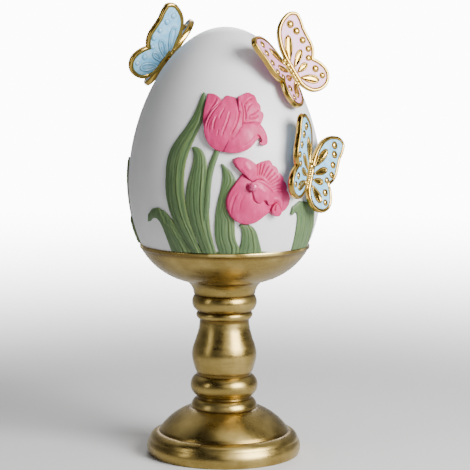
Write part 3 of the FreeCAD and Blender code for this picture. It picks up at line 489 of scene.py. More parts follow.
def unevenness_group():
    """Soft unevenness of hand-cast, hand-painted resin, as a height and a broad mask."""
    group = new_group(
        "Soft Unevenness",
        [("Vector", "Place", (0, 0, 0)), ("Float", "Broad Scale", 60.0), ("Float", "Fine Scale", 900.0)],
        [("Float", "Height"), ("Float", "Mask")],
    )
    start, end = group.nodes[0].outputs, group.nodes[1].inputs
    broad = noise(group, start["Place"], start["Broad Scale"], detail=3.0)
    fine = noise(group, start["Place"], start["Fine Scale"])
    height = calculate(group, "ADD", broad, calculate(group, "MULTIPLY", fine, FINE_SHARE))
    group.links.new(height, end["Height"])
    group.links.new(spread(group, broad, *MASK_RANGE), end["Mask"])


def wash_group():
    """Paint with painted shade in its grooves and a painted highlight on its high places, over pale and dark
    streaks.
    """
    group = new_group(
        "Paint With Painted Shade And Highlight",
        [
            ("Color", "Paint", (0.5, 0.5, 0.5, 1)), ("Color", "Wash", (0.1, 0.1, 0.1, 1)),
            ("Color", "Dry Brush", (0.8, 0.8, 0.8, 1)), ("Float", "Groove", 0.0), ("Float", "Ridge", 0.0),
            ("Float", "Streak", 0.5), ("Float", "Wash Strength", 0.8), ("Float", "Brush Strength", 0.5),
        ],
        [("Color", "Colour"), ("Float", "Roughness")],
    )
    start, end = group.nodes[0].outputs, group.nodes[1].inputs
    # Painted shade darkens the grooves, and a painted highlight lightens the ridges
    shade_share = calculate(group, "MULTIPLY", start["Groove"], start["Wash Strength"], clamp=True)
    streak_light = spread(group, start["Streak"], *PALE_STREAKS)
    streak_dark = spread(group, start["Streak"], *DARK_STREAKS)
    streak_and_highlight_share = calculate(group, "MULTIPLY_ADD", streak_light, PALE_SHARE, start["Ridge"], clamp=True)
    streak_and_highlight_share = calculate(group, "MULTIPLY", streak_and_highlight_share, start["Brush Strength"], clamp=True)
    darkened = calculate(group, "MULTIPLY_ADD", streak_dark, DARK_SHARE, shade_share, clamp=True)
    light = mix_colours(group, streak_and_highlight_share, start["Paint"], start["Dry Brush"])
    group.links.new(mix_colours(group, darkened, light, start["Wash"]), end["Colour"])
    group.links.new(spread(group, start["Streak"], *STREAK_ROUGHNESS), end["Roughness"])


def gilding_group():
    """Gold paint or plate: worn bright places, streaks of glaze round the axis, and painted shade in the
    creases.
    """
    group = new_group(
        "Worn Gilding",
        [
            ("Vector", "Place", (0, 0, 0)), ("Color", "Gold", (0.6, 0.45, 0.2, 1)),
            ("Color", "Bright", (0.9, 0.7, 0.3, 1)), ("Color", "Glaze", (0.2, 0.1, 0.05, 1)),
            ("Float", "Streak Scale", 900.0), ("Float", "Patch Scale", 70.0), ("Float", "Crease", 0.0),
        ],
        [("Color", "Colour"), ("Float", "Roughness"), ("Float", "Height")],
    )
    start, end = group.nodes[0].outputs, group.nodes[1].inputs
    x, y, z = apart(group, start["Place"])
    flat = add_node(group, "ShaderNodeCombineXYZ", None, X=x, Y=y).outputs[0]
    reach = add_node(group, "ShaderNodeVectorMath", {"operation": "LENGTH"}, _0=flat).outputs[1]
    ring = calculate(group, "MULTIPLY", calculate(group, "ADD", reach, z), start["Streak Scale"])
    turn_x = calculate(group, "MULTIPLY", x, start["Patch Scale"])
    turn_y = calculate(group, "MULTIPLY", y, start["Patch Scale"])
    place = add_node(group, "ShaderNodeCombineXYZ", None, X=turn_x, Y=turn_y, Z=ring).outputs[0]
    streak = noise(group, place, scale=1.0, detail=4.0, roughness=0.65)
    patch = noise(group, start["Place"], start["Patch Scale"], detail=4.0)
    speck = noise(group, start["Place"], SPECK_SCALE, detail=1.0)
    wear_and_highlight = mix_colours(group, spread(group, patch, *BRIGHT_PATCHES), start["Gold"], start["Bright"])
    streaked = mix_colours(group, spread(group, streak, *GLAZE_STREAKS), wear_and_highlight, start["Glaze"])
    # Painted shade where the crease input says
    group.links.new(mix_colours(group, start["Crease"], streaked, start["Glaze"]), end["Colour"])
    dull = spread(group, calculate(group, "ADD", streak, patch), *GILDING_ROUGHNESS)
    group.links.new(dull, end["Roughness"])
    group.links.new(calculate(group, "MULTIPLY_ADD", speck, SPECK_SHARE, patch), end["Height"])


# Materials


def new_material(name, **shader_values):
    """A material with its own Principled shader, whose constant values are set on its sockets."""
    material = bpy.data.materials.new(name)
    material.use_nodes = True
    tree = material.node_tree
    shader = tree.nodes["Principled BSDF"]
    for key, value in shader_values.items():
        shader.inputs[key.replace("_", " ")].default_value = value
    place = add_node(tree, "ShaderNodeTexCoord").outputs["Object"]
    return material, tree, shader, place


def group_node(tree, name, **inputs):
    """The outputs of a shared node group that is placed in a material."""
    return add_node(tree, "ShaderNodeGroup", {"node_tree": bpy.data.node_groups[name]}, **inputs).outputs


def soft_unevenness(tree, place, surface):
    """The outputs of soft unevenness at a surface's own scales."""
    broad, fine = SURFACES[surface]["unevenness"]
    return group_node(tree, "Soft Unevenness", Place=place, Broad_Scale=broad, Fine_Scale=fine)


def roughness_of(tree, share, surface):
    """A surface's roughness, from its smoothest at a share of 0 to its roughest at 1."""
    return spread(tree, share, 0.0, 1.0, *SURFACES[surface]["roughness"])


def bump(tree, shader, height, surface):
    strength, stand = SURFACES[surface]["bump"]
    node = add_node(tree, "ShaderNodeBump", None, Strength=strength, Distance=stand * MM, Height=height)
    tree.links.new(node.outputs[0], shader.inputs["Normal"])


def rgba(colour, gain=1.0):
    """A colour made lighter or darker by a gain, with its alpha."""
    return tuple(min(1.0, part * gain) for part in colour) + (1.0,)


def attribute(tree, name, output="Fac"):
    return add_node(tree, "ShaderNodeAttribute", {"attribute_name": name}).outputs[output]


def white_paint(colours):
    """Satin white paint, with a thin green band at the lip between the front leaves' roots."""
    material, tree, shader, place = new_material("White Paint", Coat_Weight=0.08, Coat_Roughness=0.35)
    uneven = soft_unevenness(tree, place, "white")
    shade = mix_colours(tree, uneven["Mask"], rgba(colours.white), rgba(colours.white, WHITE_GAIN))
    x, y, z = apart(tree, place)
    turn = calculate(tree, "ARCTAN2", x, y)
    front = spread(tree, calculate(tree, "ABSOLUTE", turn), *BAND_TURNS)
    wavy_level = calculate(tree, "MULTIPLY_ADD", noise(tree, place, BAND_SCALE), -BAND_WAVE, z)
    from_gap = calculate(tree, "ABSOLUTE", calculate(tree, "ADD", turn, ROOT_GAP_TURN))
    raised = spread(tree, from_gap, *ROOT_GAP_SIDES, 0.0, ROOT_GAP_RISE)
    low = spread(tree, calculate(tree, "SUBTRACT", wavy_level, raised), *BAND_LEVELS)
    band = calculate(tree, "MULTIPLY", front, low)
    tree.links.new(mix_colours(tree, band, shade, rgba(colours.leaf)), shader.inputs["Base Color"])
    tree.links.new(roughness_of(tree, uneven["Mask"], "white"), shader.inputs["Roughness"])
    bump(tree, shader, uneven["Height"], "white")
    return material


def carved_paint(name, paint, wash, brush, wash_strength, brush_strength):
    """Paint on a carving: painted shade in its grooves, a painted highlight on its ridges, and its streaks
    come from attributes of the piece.
    """
    material, tree, shader, place = new_material(name, Specular_IOR_Level=0.3)
    grain = noise(tree, attribute(tree, "grain", "Vector"), scale=1.0, detail=3.0, roughness=0.6)
    painted = group_node(
        tree, "Paint With Painted Shade And Highlight", Paint=rgba(paint), Wash=rgba(wash), Dry_Brush=rgba(brush),
        Groove=attribute(tree, "groove"), Ridge=attribute(tree, "ridge"), Streak=grain,
        Wash_Strength=wash_strength, Brush_Strength=brush_strength)
    tree.links.new(painted["Colour"], shader.inputs["Base Color"])
    tree.links.new(painted["Roughness"], shader.inputs["Roughness"])
    uneven = soft_unevenness(tree, place, "carved")
    height = calculate(tree, "MULTIPLY_ADD", grain, GRAIN_HEIGHT, uneven["Height"])
    bump(tree, shader, height, "carved")
    return material


def antique_gold(colours):
    """The pedestal's antique gold: satin, streaked, with painted shade in the creases and a painted highlight
    at the lip.
    """
    material, tree, shader, place = new_material("Antique Gold", Metallic=1.0)
    gilding = group_node(
        tree, "Worn Gilding", Place=place, Gold=rgba(colours.gilt), Bright=rgba(colours.gilt_light),
        Glaze=rgba(colours.gilt_shade), Streak_Scale=420.0, Patch_Scale=55.0,
        Crease=attribute(tree, "crease"))
    # Painted highlight: bright gold in patches along the lip's top
    lip_highlight_patches = spread(tree, noise(tree, place, LIP_HIGHLIGHT_SCALE), *LIP_HIGHLIGHT_RANGE)
    glint = calculate(tree, "MULTIPLY", attribute(tree, "wear_and_highlight"), lip_highlight_patches)
    shade = mix_colours(tree, glint, gilding["Colour"], rgba(colours.gilt_light, LIP_HIGHLIGHT_GAIN))
    tree.links.new(shade, shader.inputs["Base Color"])
    tree.links.new(roughness_of(tree, gilding["Roughness"], "gilt"), shader.inputs["Roughness"])
    bump(tree, shader, gilding["Height"], "gilt")
    return material


def gold_plate(colours):
    """The butterflies' polished gold plate, with painted shade where the attribute named crease says so."""
    material, tree, shader, place = new_material("Gold Plate", Metallic=1.0)
    crease = attribute(tree, "crease")
    gilding = group_node(
        tree, "Worn Gilding", Place=place, Gold=rgba(colours.gold), Bright=rgba(colours.gold),
        Glaze=rgba(colours.gold_shade), Streak_Scale=260.0, Patch_Scale=240.0, Crease=crease)
    share = spread(tree, crease, 0.0, 1.0, 0.5, 1.0)
    shade = mix_colours(tree, share, rgba(colours.gold), gilding["Colour"])
    tree.links.new(shade, shader.inputs["Base Color"])
    uneven = roughness_of(tree, gilding["Roughness"], "gold")
    dull = calculate(tree, "MULTIPLY_ADD", crease, CREASE_ROUGHNESS, uneven)
    tree.links.new(dull, shader.inputs["Roughness"])
    bump(tree, shader, gilding["Height"], "gold")
    return material


def enamel(name, colour):
    """Soft enamel with a slightly uneven, satin surface, with painted shade where the attribute named
    hollow_shade says so.
    """
    material, tree, shader, place = new_material(name, Coat_Weight=0.3, Coat_Roughness=0.15)
    uneven = soft_unevenness(tree, place, "enamel")
    pale = [part + (1 - part) * PALE_ENAMEL for part in colour]
    shade = mix_colours(tree, uneven["Mask"], rgba(colour), rgba(pale))
    shade = mix_colours(tree, attribute(tree, "hollow_shade"), shade, rgba(colour, HOLLOW_SHADE_GAIN))
    tree.links.new(shade, shader.inputs["Base Color"])
    tree.links.new(roughness_of(tree, uneven["Mask"], "enamel"), shader.inputs["Roughness"])
    bump(tree, shader, uneven["Height"], "enamel")
    return material


def clear_bead(colours):
    """A glossy bead in the petals' pinks that lets a little light through."""
    material, tree, shader, place = new_material(
        "Clear Bead", Metallic=0.0, Transmission_Weight=0.12, Roughness=0.15, IOR=1.5, Coat_Weight=0.8)
    uneven = soft_unevenness(tree, place, "bead")
    shade = mix_colours(tree, uneven["Mask"], rgba(colours.tulip), rgba(colours.tulip_light))
    tree.links.new(shade, shader.inputs["Base Color"])
    bump(tree, shader, uneven["Height"], "bead")
    return material


def felt(colours):
    """Short wool felt, with fibres of a darker and a lighter brown."""
    material, tree, shader, place = new_material("Felt", Roughness=0.95, Sheen_Weight=0.4)
    fibres = noise(tree, place, scale=1800.0, detail=4.0, roughness=0.8)
    shade = mix_colours(tree, fibres, rgba(colours.felt), rgba(colours.felt, FELT_GAIN))
    tree.links.new(shade, shader.inputs["Base Color"])
    bump(tree, shader, fibres, "felt")
    return material


# Making pieces


def deselect():
    if bpy.context.object and bpy.context.object.mode != "OBJECT":
        bpy.ops.object.mode_set(mode="OBJECT")
    bpy.ops.object.select_all(action="DESELECT")


def only(piece):
    """Makes a piece the only one selected, and the active one."""
    deselect()
    piece.select_set(True)
    bpy.context.view_layer.objects.active = piece


def edit_all():
    bpy.ops.object.mode_set(mode="EDIT")
    bpy.ops.mesh.select_all(action="SELECT")


def edit_done():
    bpy.ops.object.mode_set(mode="OBJECT")


def apply_modifier(piece, kind, **settings):
    only(piece)
    bpy.ops.object.modifier_add(type=kind)
    modifier = piece.modifiers[-1]
    for key, value in settings.items():
        setattr(modifier, key, value)
    bpy.ops.object.modifier_apply(modifier=modifier.name)


def copy_of(piece, name):
    """A copy of a piece, with its own mesh."""
    only(piece)
    bpy.ops.object.duplicate()
    copy = bpy.context.object
    copy.name = name
    copy.data.name = name
    return copy


def flip(piece):
    """Turns the faces of a piece round."""
    only(piece)
    edit_all()
    bpy.ops.mesh.flip_normals()
    edit_done()


def join(pieces, name):
    """One piece from several."""
    only(pieces[0])
    for piece in pieces[1:]:
        piece.select_set(True)
    bpy.ops.object.join()
    pieces[0].name = name
    pieces[0].data.name = name
    return pieces[0]


def vertex_places(piece):
    places = np.empty(len(piece.data.vertices) * 3)
    piece.data.vertices.foreach_get("co", places)
    return places.reshape(-1, 3)


def set_vertex_places(piece, places):
    piece.data.vertices.foreach_set("co", places.ravel())
    piece.data.update()


def vertex_normals(piece):
    normals = np.empty(len(piece.data.vertices) * 3)
    piece.data.vertex_normals.foreach_get("vector", normals)
    return normals.reshape(-1, 3)


def write_attribute(piece, name, values, kind="FLOAT"):
    layer = piece.data.attributes.get(name) or piece.data.attributes.new(name, kind, "POINT")
    field = "value" if kind == "FLOAT" else "vector"
    layer.data.foreach_set(field, np.asarray(values, dtype=np.float32).ravel())


def finish_piece(piece, material, nodes):
    """Gives a finished piece its material and its body, and hides the solids that it stands for."""
    piece.data.materials.clear()
    piece.data.materials.append(material)
    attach(piece, "root")
    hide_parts(*nodes)


def paint_node(node_name, material):
    """A new material on a solid that keeps its own shape."""
    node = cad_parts[node_name]
    node.data.materials.clear()
    node.data.materials.append(material)


# The egg's formula


def egg_radius(level):
    share = np.clip((level - EGG_CENTRE) / EGG_HALF_LENGTH, -1.0, 1.0)
    return EGG_HALF_WIDTH * np.sqrt(1 - share * share) * (1 - EGG_TAPER * share)


def egg_outward(azimuth, level):
    """The egg's outward direction. Azimuth is in radians, 0 at the front."""
    share = np.clip((level - EGG_CENTRE) / EGG_HALF_LENGTH, -EGG_POLE, EGG_POLE)
    round_part = np.sqrt(1 - share * share)
    slope = -share / round_part * (1 - EGG_TAPER * share) - EGG_TAPER * round_part
    slope = slope * EGG_HALF_WIDTH / EGG_HALF_LENGTH
    outward = np.stack([np.sin(azimuth), -np.cos(azimuth), -slope], axis=-1)
    return outward / np.linalg.norm(outward, axis=-1, keepdims=True)


def smooth_step(values, low, high):
    share = np.clip((values - low) / (high - low), 0.0, 1.0)
    return share * share * (3 - 2 * share)


def smooth_line(points, steps=6):
    """A smooth run through given points."""
    points = np.asarray(points, dtype=float)
    padded = np.vstack([2 * points[0] - points[1], points, 2 * points[-1] - points[-2]])
    run = []
    for index in range(1, len(padded) - 2):
        before, start, end, after = padded[index - 1:index + 3]
        for step in range(steps):
            t = step / steps
            square = 2 * before - 5 * start + 4 * end - after
            cube = 3 * start - before - 3 * end + after
            run.append(0.5 * (2 * start + (end - before) * t + square * t ** 2 + cube * t ** 3))
    run.append(points[-1])
    return np.array(run)


def distance_to_line(points, line):
    """How far each point of a plane lies from a run of straight pieces, and how far along the run it lies."""
    nearest = np.full(len(points), np.inf)
    along = np.zeros(len(points))
    count = len(line) - 1
    for index in range(count):
        start, way = line[index], line[index + 1] - line[index]
        share = np.clip(((points - start) @ way) / max(way @ way, 1e-18), 0.0, 1.0)
        gap = np.linalg.norm(points - start - share[:, None] * way, axis=1)
        closer = gap < nearest
        nearest[closer] = gap[closer]
        along[closer] = (index + share[closer]) / count
    return nearest, along


class Carving:
    """A soft, closed copy of a relief solid, with places on the egg for each of its vertices."""

    def __init__(self, node_name, grain, softness):
        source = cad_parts[node_name]
        self.piece = bpy.data.objects.new("carved_" + node_name, source.data.copy())
        bpy.context.scene.collection.objects.link(self.piece)
        only(self.piece)
        edit_all()
        bpy.ops.mesh.remove_doubles(threshold=SOLID_MERGE_REACH)
        edit_done()
        apply_modifier(self.piece, "REMESH", mode="VOXEL", voxel_size=grain, use_smooth_shade=True)
        places = vertex_places(self.piece)
        self.read(places)
        seated = self.lift < SEAT_LIFT
        seat_places = places[seated]
        edit_all()
        bpy.ops.mesh.vertices_smooth(factor=0.5, repeat=softness)
        edit_done()
        places = vertex_places(self.piece)
        places[seated] = places[seated] * SEAT_GIVE + seat_places * (1 - SEAT_GIVE)
        set_vertex_places(self.piece, places)
        self.read(places)
        self.rise = np.zeros(len(places))
        self.groove = np.zeros(len(places))
        self.ridge = np.zeros(len(places))

    def read(self, places):
        """Works out where each vertex lies on the egg, and how far it is lifted off it."""
        self.places = places
        azimuth = np.arctan2(places[:, 0], -places[:, 1])
        self.middle = np.arctan2(places[:, 0].mean(), -places[:, 1].mean())
        self.turn = (azimuth - self.middle + math.pi) % (2 * math.pi) - math.pi
        self.level = places[:, 2]
        self.outward = egg_outward(azimuth, self.level)
        radius = np.hypot(places[:, 0], places[:, 1])
        self.lift = (radius - egg_radius(self.level)) * np.hypot(self.outward[:, 0], self.outward[:, 1])

    def on_map(self, line):
        """A carved line on the flattened egg, in metres across and up."""
        line = smooth_line(line)
        level = EGG_CENTRE + line[:, 1] * EGG_HALF_LENGTH
        turn = (np.radians(line[:, 0]) - self.middle + math.pi) % (2 * math.pi) - math.pi
        return np.stack([turn * egg_radius(level), level], axis=1)

    def cut(self, line, half_width, height):
        """Carves one line, deepest in its middle and fading at its ends."""
        here = np.stack([self.turn * egg_radius(self.level), self.level], axis=1)
        gap, along = distance_to_line(here, self.on_map(line))
        ends = smooth_step(np.minimum(along, 1 - along), *LINE_ENDS)
        self.rise += np.exp(-(gap / (half_width * MM)) ** 2) * ends * height * MM
        painted = np.exp(-(gap / (PAINT_SPREAD * half_width * MM)) ** 2) * ends
        painted *= min(1.0, abs(height) / FULL_PAINT_HEIGHT)
        # A groove gets painted shade and a ridge a painted highlight
        if height < 0:
            self.groove = np.maximum(self.groove, painted)
        else:
            self.ridge = np.maximum(self.ridge, painted)

    def finish(self, grain_along):
        """Moves the skin by what was carved, and writes the attributes that the paint reads, with where shade
        and highlight are painted.
        """
        above = smooth_step(self.lift, *CARVED_LIFT)
        facing = np.clip((vertex_normals(self.piece) * self.outward).sum(axis=1), 0.0, 1.0)
        places = self.places + self.outward * (self.rise * above * facing)[:, None]
        set_vertex_places(self.piece, places)
        # Painted shade at the carving's foot, where it meets the egg
        foot = 1 - smooth_step(self.lift, *FOOT_LIFT)
        write_attribute(self.piece, "groove", np.clip(self.groove + FOOT_SHADE * foot, 0, 1))
        write_attribute(self.piece, "ridge", self.ridge)
        write_attribute(self.piece, "grain", grain_along, "FLOAT_VECTOR")
        only(self.piece)
        bpy.ops.object.shade_smooth()
        return self.piece


def carve_petal(name, sizes):
    """One petal with its veins and pleats, and faint brush marks along them."""
    carving = Carving(name, sizes.petal_grain, sizes.softness)
    for line, half_width, height in PETAL_LINES[name]:
        carving.cut(line, half_width, height)
    across = carving.turn * egg_radius(carving.level)
    grain = [across / PETAL_BRUSH[0], carving.level / PETAL_BRUSH[1], np.zeros_like(across)]
    return carving.finish(np.stack(grain, axis=1))


def wave(level, size, shift):
    """A wave along the height, from its size as (reach, height over which it turns by a radian)."""
    return size[0] * np.sin(level / size[1] + shift)


def leaf_sides(carving):
    """The turns of a leaf's left and right sides at the level of each vertex."""
    bins = np.floor((carving.level - carving.level.min()) / LEAF_STEP).astype(int)
    count = bins.max() + 1
    left, right = np.full(count, np.inf), np.full(count, -np.inf)
    np.minimum.at(left, bins, carving.turn)
    np.maximum.at(right, bins, carving.turn)
    centres = carving.level.min() + (np.arange(count) + 0.5) * LEAF_STEP
    return np.interp(carving.level, centres, left), np.interp(carving.level, centres, right)


def carve_leaf(name, sizes, seed):
    """One leaf with veins that follow its own width, and long brush streaks."""
    carving = Carving(name, sizes.leaf_grain, sizes.softness)
    left, right = leaf_sides(carving)
    width = np.maximum((right - left) * egg_radius(carving.level), 0.5 * MM)
    share = np.clip((carving.turn - left) / np.maximum(right - left, 1e-6), 0, 1)
    broad = smooth_step(width, *LEAF_FADE_WIDTHS)
    for index, (place, depth) in enumerate(LEAF_VEINS):
        sway = wave(carving.level, VEIN_SWAY, SWAY_SHIFT * index + seed)
        gap = (share - place - sway) * width
        change = wave(carving.level, VEIN_CHANGE, CHANGE_SHIFT * index + LEAF_SHIFT * seed)
        deep = depth * (1 - VEIN_CHANGE[0] + change)
        carving.rise -= np.exp(-(gap / VEIN_REACH) ** 2) * broad * deep * MM
        # Painted shade along each vein
        wash = np.exp(-(gap / VEIN_SHADE_REACH) ** 2) * broad * deep / VEIN_FULL_SHADE
        carving.groove = np.maximum(carving.groove, wash)
    fold_place = FOLD_PLACE + wave(carving.level, FOLD_SWAY, seed)
    fold = np.exp(-(((share - fold_place) * width) / FOLD_REACH) ** 2) * broad
    carving.rise += (fold - 1) * FOLD_HEIGHT
    # Painted highlight on the fold and along the right edge
    carving.ridge = np.maximum(FOLD_HIGHLIGHT * fold, smooth_step(share, *LIT_EDGE_HIGHLIGHT) * broad)
    across = share * width / LEAF_BRUSH[0] + GRAIN_SHIFT * seed
    grain = [across, carving.level / LEAF_BRUSH[1], np.full(len(across), seed)]
    return carving.finish(np.stack(grain, axis=1))


# The pedestal's outline


def arc_run(start, middle, end, steps):
    """Points along the arc through three points of a plane, its first point left out."""
    (ax, ay), (bx, by), (cx, cy) = start, middle, end
    double = 2 * (ax * (by - cy) + bx * (cy - ay) + cx * (ay - by))
    if abs(double) < 1e-9:
        return [tuple(np.add(start, np.subtract(end, start) * s / steps)) for s in range(1, steps + 1)]
    a, b, c = ax * ax + ay * ay, bx * bx + by * by, cx * cx + cy * cy
    ux = (a * (by - cy) + b * (cy - ay) + c * (ay - by)) / double
    uy = (a * (cx - bx) + b * (ax - cx) + c * (bx - ax)) / double
    radius = math.hypot(ax - ux, ay - uy)
    first = math.atan2(ay - uy, ax - ux)
    to_middle = (math.atan2(by - uy, bx - ux) - first) % (2 * math.pi)
    to_end = (math.atan2(cy - uy, cx - ux) - first) % (2 * math.pi)
    if to_middle > to_end:
        to_end -= 2 * math.pi
    turns = [first + to_end * s / steps for s in range(1, steps + 1)]
    return [(ux + radius * math.cos(turn), uy + radius * math.sin(turn)) for turn in turns]


def pedestal_run():
    """The pedestal's outline as one run of points, in millimetres."""
    run = [MOULDINGS[0][1][0]]
    for kind, points in MOULDINGS:
        if kind == "line":
            run += points[1:]
        elif kind == "arc":
            run += arc_run(*points, steps=MOULDING_ARC_STEPS)
        else:
            run += [tuple(point) for point in smooth_line(points, MOULDING_CURVE_STEPS)[1:]]
    return run


def turn_pedestal(sizes):
    """Extrudes one corner of a plane along the outline from point to point, then spins it round the axis."""
    run = pedestal_run()
    deselect()
    bpy.ops.mesh.primitive_plane_add(size=1 * MM)
    piece = bpy.context.object
    edit_all()
    bpy.ops.mesh.merge(type="CENTER")
    bpy.ops.transform.translate(value=(run[0][0] * MM, 0, run[0][1] * MM))
    for before, after in zip(run, run[1:]):
        step = ((after[0] - before[0]) * MM, 0, (after[1] - before[1]) * MM)
        bpy.ops.mesh.extrude_region_move(TRANSFORM_OT_translate={"value": step})
    bpy.ops.mesh.select_all(action="SELECT")
    bpy.ops.mesh.spin(steps=sizes.lathe_steps, angle=2 * math.pi, center=(0, 0, 0), axis=(0, 0, 1))
    bpy.ops.mesh.select_all(action="SELECT")
    bpy.ops.mesh.remove_doubles(threshold=MERGE_REACH)
    bpy.ops.mesh.normals_make_consistent(inside=False)
    edit_done()
    bpy.ops.object.shade_smooth_by_angle(angle=PEDESTAL_EDGE_ANGLE)
    mark_creases_and_lip(piece)
    piece.name = "gilt_pedestal"
    return piece


def mark_creases_and_lip(piece):
    """Writes where painted shade lies in the quirks between the mouldings, and where the lip gets a painted
    highlight.
    """
    places = vertex_places(piece)
    level, radius = places[:, 2] / MM, np.hypot(places[:, 0], places[:, 1]) / MM
    crease = np.zeros(len(places))
    for _, points in MOULDINGS[2:-2]:
        away = np.hypot(radius - points[-1][0], level - points[-1][1])
        crease = np.maximum(crease, np.exp(-(away / CREASE_REACH) ** 2))
    lip_level = MOULDINGS[-3][1][2][1]
    inner_radius = MOULDINGS[-1][1][2][0]
    lip = (radius > inner_radius) * smooth_step(level, lip_level + LIP_HIGHLIGHT_LEVELS[0], lip_level + LIP_HIGHLIGHT_LEVELS[1])
    write_attribute(piece, "crease", crease * CREASE_SHADE * (1 - lip))
    write_attribute(piece, "wear_and_highlight", lip)


# The butterflies


def wing_run():
    """A wing's outline as one closed run of points, in metres."""
    run = [WING_OUTLINE[0]]
    for first in range(0, len(WING_OUTLINE) - 2, 2):
        run += arc_run(*WING_OUTLINE[first:first + 3], steps=WING_ARC_STEPS)
    return [Vector((x * MM, y * MM, 0)) for x, y in run]


def flat_shape(run, level):
    """A flat many-sided face with its corners on a run of points, facing up."""
    deselect()
    reach = max(point.length for point in run)
    bpy.ops.mesh.primitive_circle_add(vertices=len(run), radius=reach, fill_type="NGON")
    piece = bpy.context.object
    for vertex, place in zip(piece.data.vertices, run):
        vertex.co = place + Vector((0, 0, level))
    edit_all()
    bpy.ops.mesh.normals_make_consistent(inside=False)
    edit_done()
    if piece.data.polygons[0].normal.z < 0:
        flip(piece)
    return piece


def turn_over(piece):
    """Mirrors a piece through the hinge plane, so that its top becomes its under side."""
    only(piece)
    edit_all()
    bpy.ops.transform.resize(value=(1, 1, -1), center_override=(0, 0, 0))
    edit_done()
    flip(piece)


def extrude_up(height):
    """Extrudes what is selected straight up, by a height in millimetres."""
    bpy.ops.mesh.extrude_region_move(TRANSFORM_OT_translate={"value": (0, 0, height * MM)})


def inset_in_steps(section):
    """Insets the selected face by each step of a section, and raises it."""
    inward, height = 0.0, 0.0
    for next_inward, next_height in section:
        bpy.ops.mesh.inset(thickness=(next_inward - inward) * MM, depth=0, use_even_offset=True)
        bpy.ops.transform.translate(value=(0, 0, (next_height - height) * MM))
        inward, height = next_inward, next_height


def wing_casting():
    """A right wing's gold, flat: the rim's upper and under sides, and the floor between them."""
    upper, under = flat_shape(wing_run(), 0), flat_shape(wing_run(), 0)
    for half, section in ((upper, UPPER_RIM), (under, UNDER_RIM)):
        only(half)
        edit_all()
        inset_in_steps(section)
        edit_done()
    sink_hinge_edge(under)
    turn_over(under)
    wing = join([upper, under], "wing")
    edit_all()
    bpy.ops.mesh.remove_doubles(threshold=MERGE_REACH)
    edit_done()
    height = vertex_places(wing)[:, 2] / MM
    # Painted shade on the ledge at the rim's inner foot
    ledge = np.abs(height - UPPER_RIM[-2][1]) < LEDGE_BAND
    write_attribute(wing, "crease", ledge * 1.0)
    return wing


def sink_hinge_edge(half):
    """Lowers the under side's rim beside the body, where the enamel runs on to the hinge."""
    places = vertex_places(half)
    across, along = places[:, 0] / MM, places[:, 1] / MM
    front_end, tail_end = WING_OUTLINE[0][1], WING_OUTLINE[-1][1]
    beside = smooth_step(across, *HINGE_STRIP_ACROSS)
    for from_end in (along - tail_end, front_end - along):
        beside *= smooth_step(from_end, *HINGE_STRIP_ALONG)
    places[:, 2] -= np.maximum(places[:, 2] - HINGE_STRIP_LEVEL * MM, 0) * beside
    set_vertex_places(half, places)


def wing_enamel(inward, bottom, top, hinge_reach=0.0):
    """A right wing's enamel, flat: it fills the cell inside the rim, and its top is slightly crowned.

    Its side by the body is then moved towards the hinge by hinge_reach.
    """
    piece = flat_shape(wing_run(), 0)
    bpy.ops.object.mode_set(mode="EDIT")
    bpy.ops.mesh.select_mode(type="FACE")
    bpy.ops.mesh.select_all(action="SELECT")
    bpy.ops.mesh.inset(thickness=inward * MM, depth=0, use_even_offset=True)
    bpy.ops.mesh.select_all(action="INVERT")
    bpy.ops.mesh.delete(type="FACE")
    bpy.ops.mesh.select_all(action="SELECT")
    bpy.ops.transform.translate(value=(0, 0, bottom * MM))
    extrude_up(top - bottom - ENAMEL_CROWN[-1][1])
    inset_in_steps(ENAMEL_CROWN)
    bpy.ops.mesh.select_mode(type="VERT")
    bpy.ops.mesh.select_all(action="SELECT")
    bpy.ops.mesh.normals_make_consistent(inside=False)
    edit_done()
    places = vertex_places(piece)
    inside, from_ends = HINGE_CORNERS
    tail_end, front_end = (WING_OUTLINE[-1][1] + from_ends) * MM, (WING_OUTLINE[0][1] - from_ends) * MM
    by_hinge = places[:, 0] < (inward + inside) * MM
    by_hinge &= (places[:, 1] > tail_end) & (places[:, 1] < front_end)
    places[by_hinge, 0] -= hinge_reach * MM
    set_vertex_places(piece, places)
    return piece


def drop_ends(drop):
    """A drop's root and tip, in metres."""
    return [Vector((*end, 0)) * MM for end in drop[:2]]


def drop_shape(half_width, length):
    """A flat drop that points along Y from its root, and lies as deep as drops are set into the enamel."""
    side = smooth_line(DROP_SIDE, DROP_STEPS)
    run = [Vector((-share[1] * half_width, share[0] * length, 0)) for share in side]
    run += [Vector((share[1] * half_width, share[0] * length, 0)) for share in side[-2:0:-1]]
    return flat_shape(run, -SETTING_DEPTH * MM)


def place_drop(piece, root, way, level):
    """Turns a drop from Y to its own way, and moves it to its root and level."""
    turn = Matrix.Rotation(math.atan2(way.y, way.x) - math.pi / 2, 4, "Z")
    piece.data.transform(Matrix.Translation(root + Vector((0, 0, level * MM))) @ turn)
    return piece


def wing_drop(drop, level, stretch):
    """A raised drop with a soft edge and a sunk middle, its height stretched."""
    root, tip = drop_ends(drop)
    half_width, length = drop[2] * MM, (tip - root).length
    inward, climb = 0.0, -SETTING_DEPTH
    piece = drop_shape(half_width, length)
    middle = Vector((0, DROP_MIDDLE * length, 0))
    edit_all()
    for next_inward, next_climb in DROP_RINGS:
        extrude_up(next_climb * stretch - climb)
        aside = (half_width - next_inward * MM) / (half_width - inward * MM)
        along = (length - DROP_TAPER * next_inward * MM) / (length - DROP_TAPER * inward * MM)
        bpy.ops.transform.resize(value=(aside, along, 1), center_override=middle)
        inward, climb = next_inward, next_climb * stretch
    edit_done()
    return place_drop(piece, root, tip - root, level)


def darken(piece):
    """Gives a whole piece the dark painted shade of a crease."""
    write_attribute(piece, "crease", np.ones(len(piece.data.vertices)))


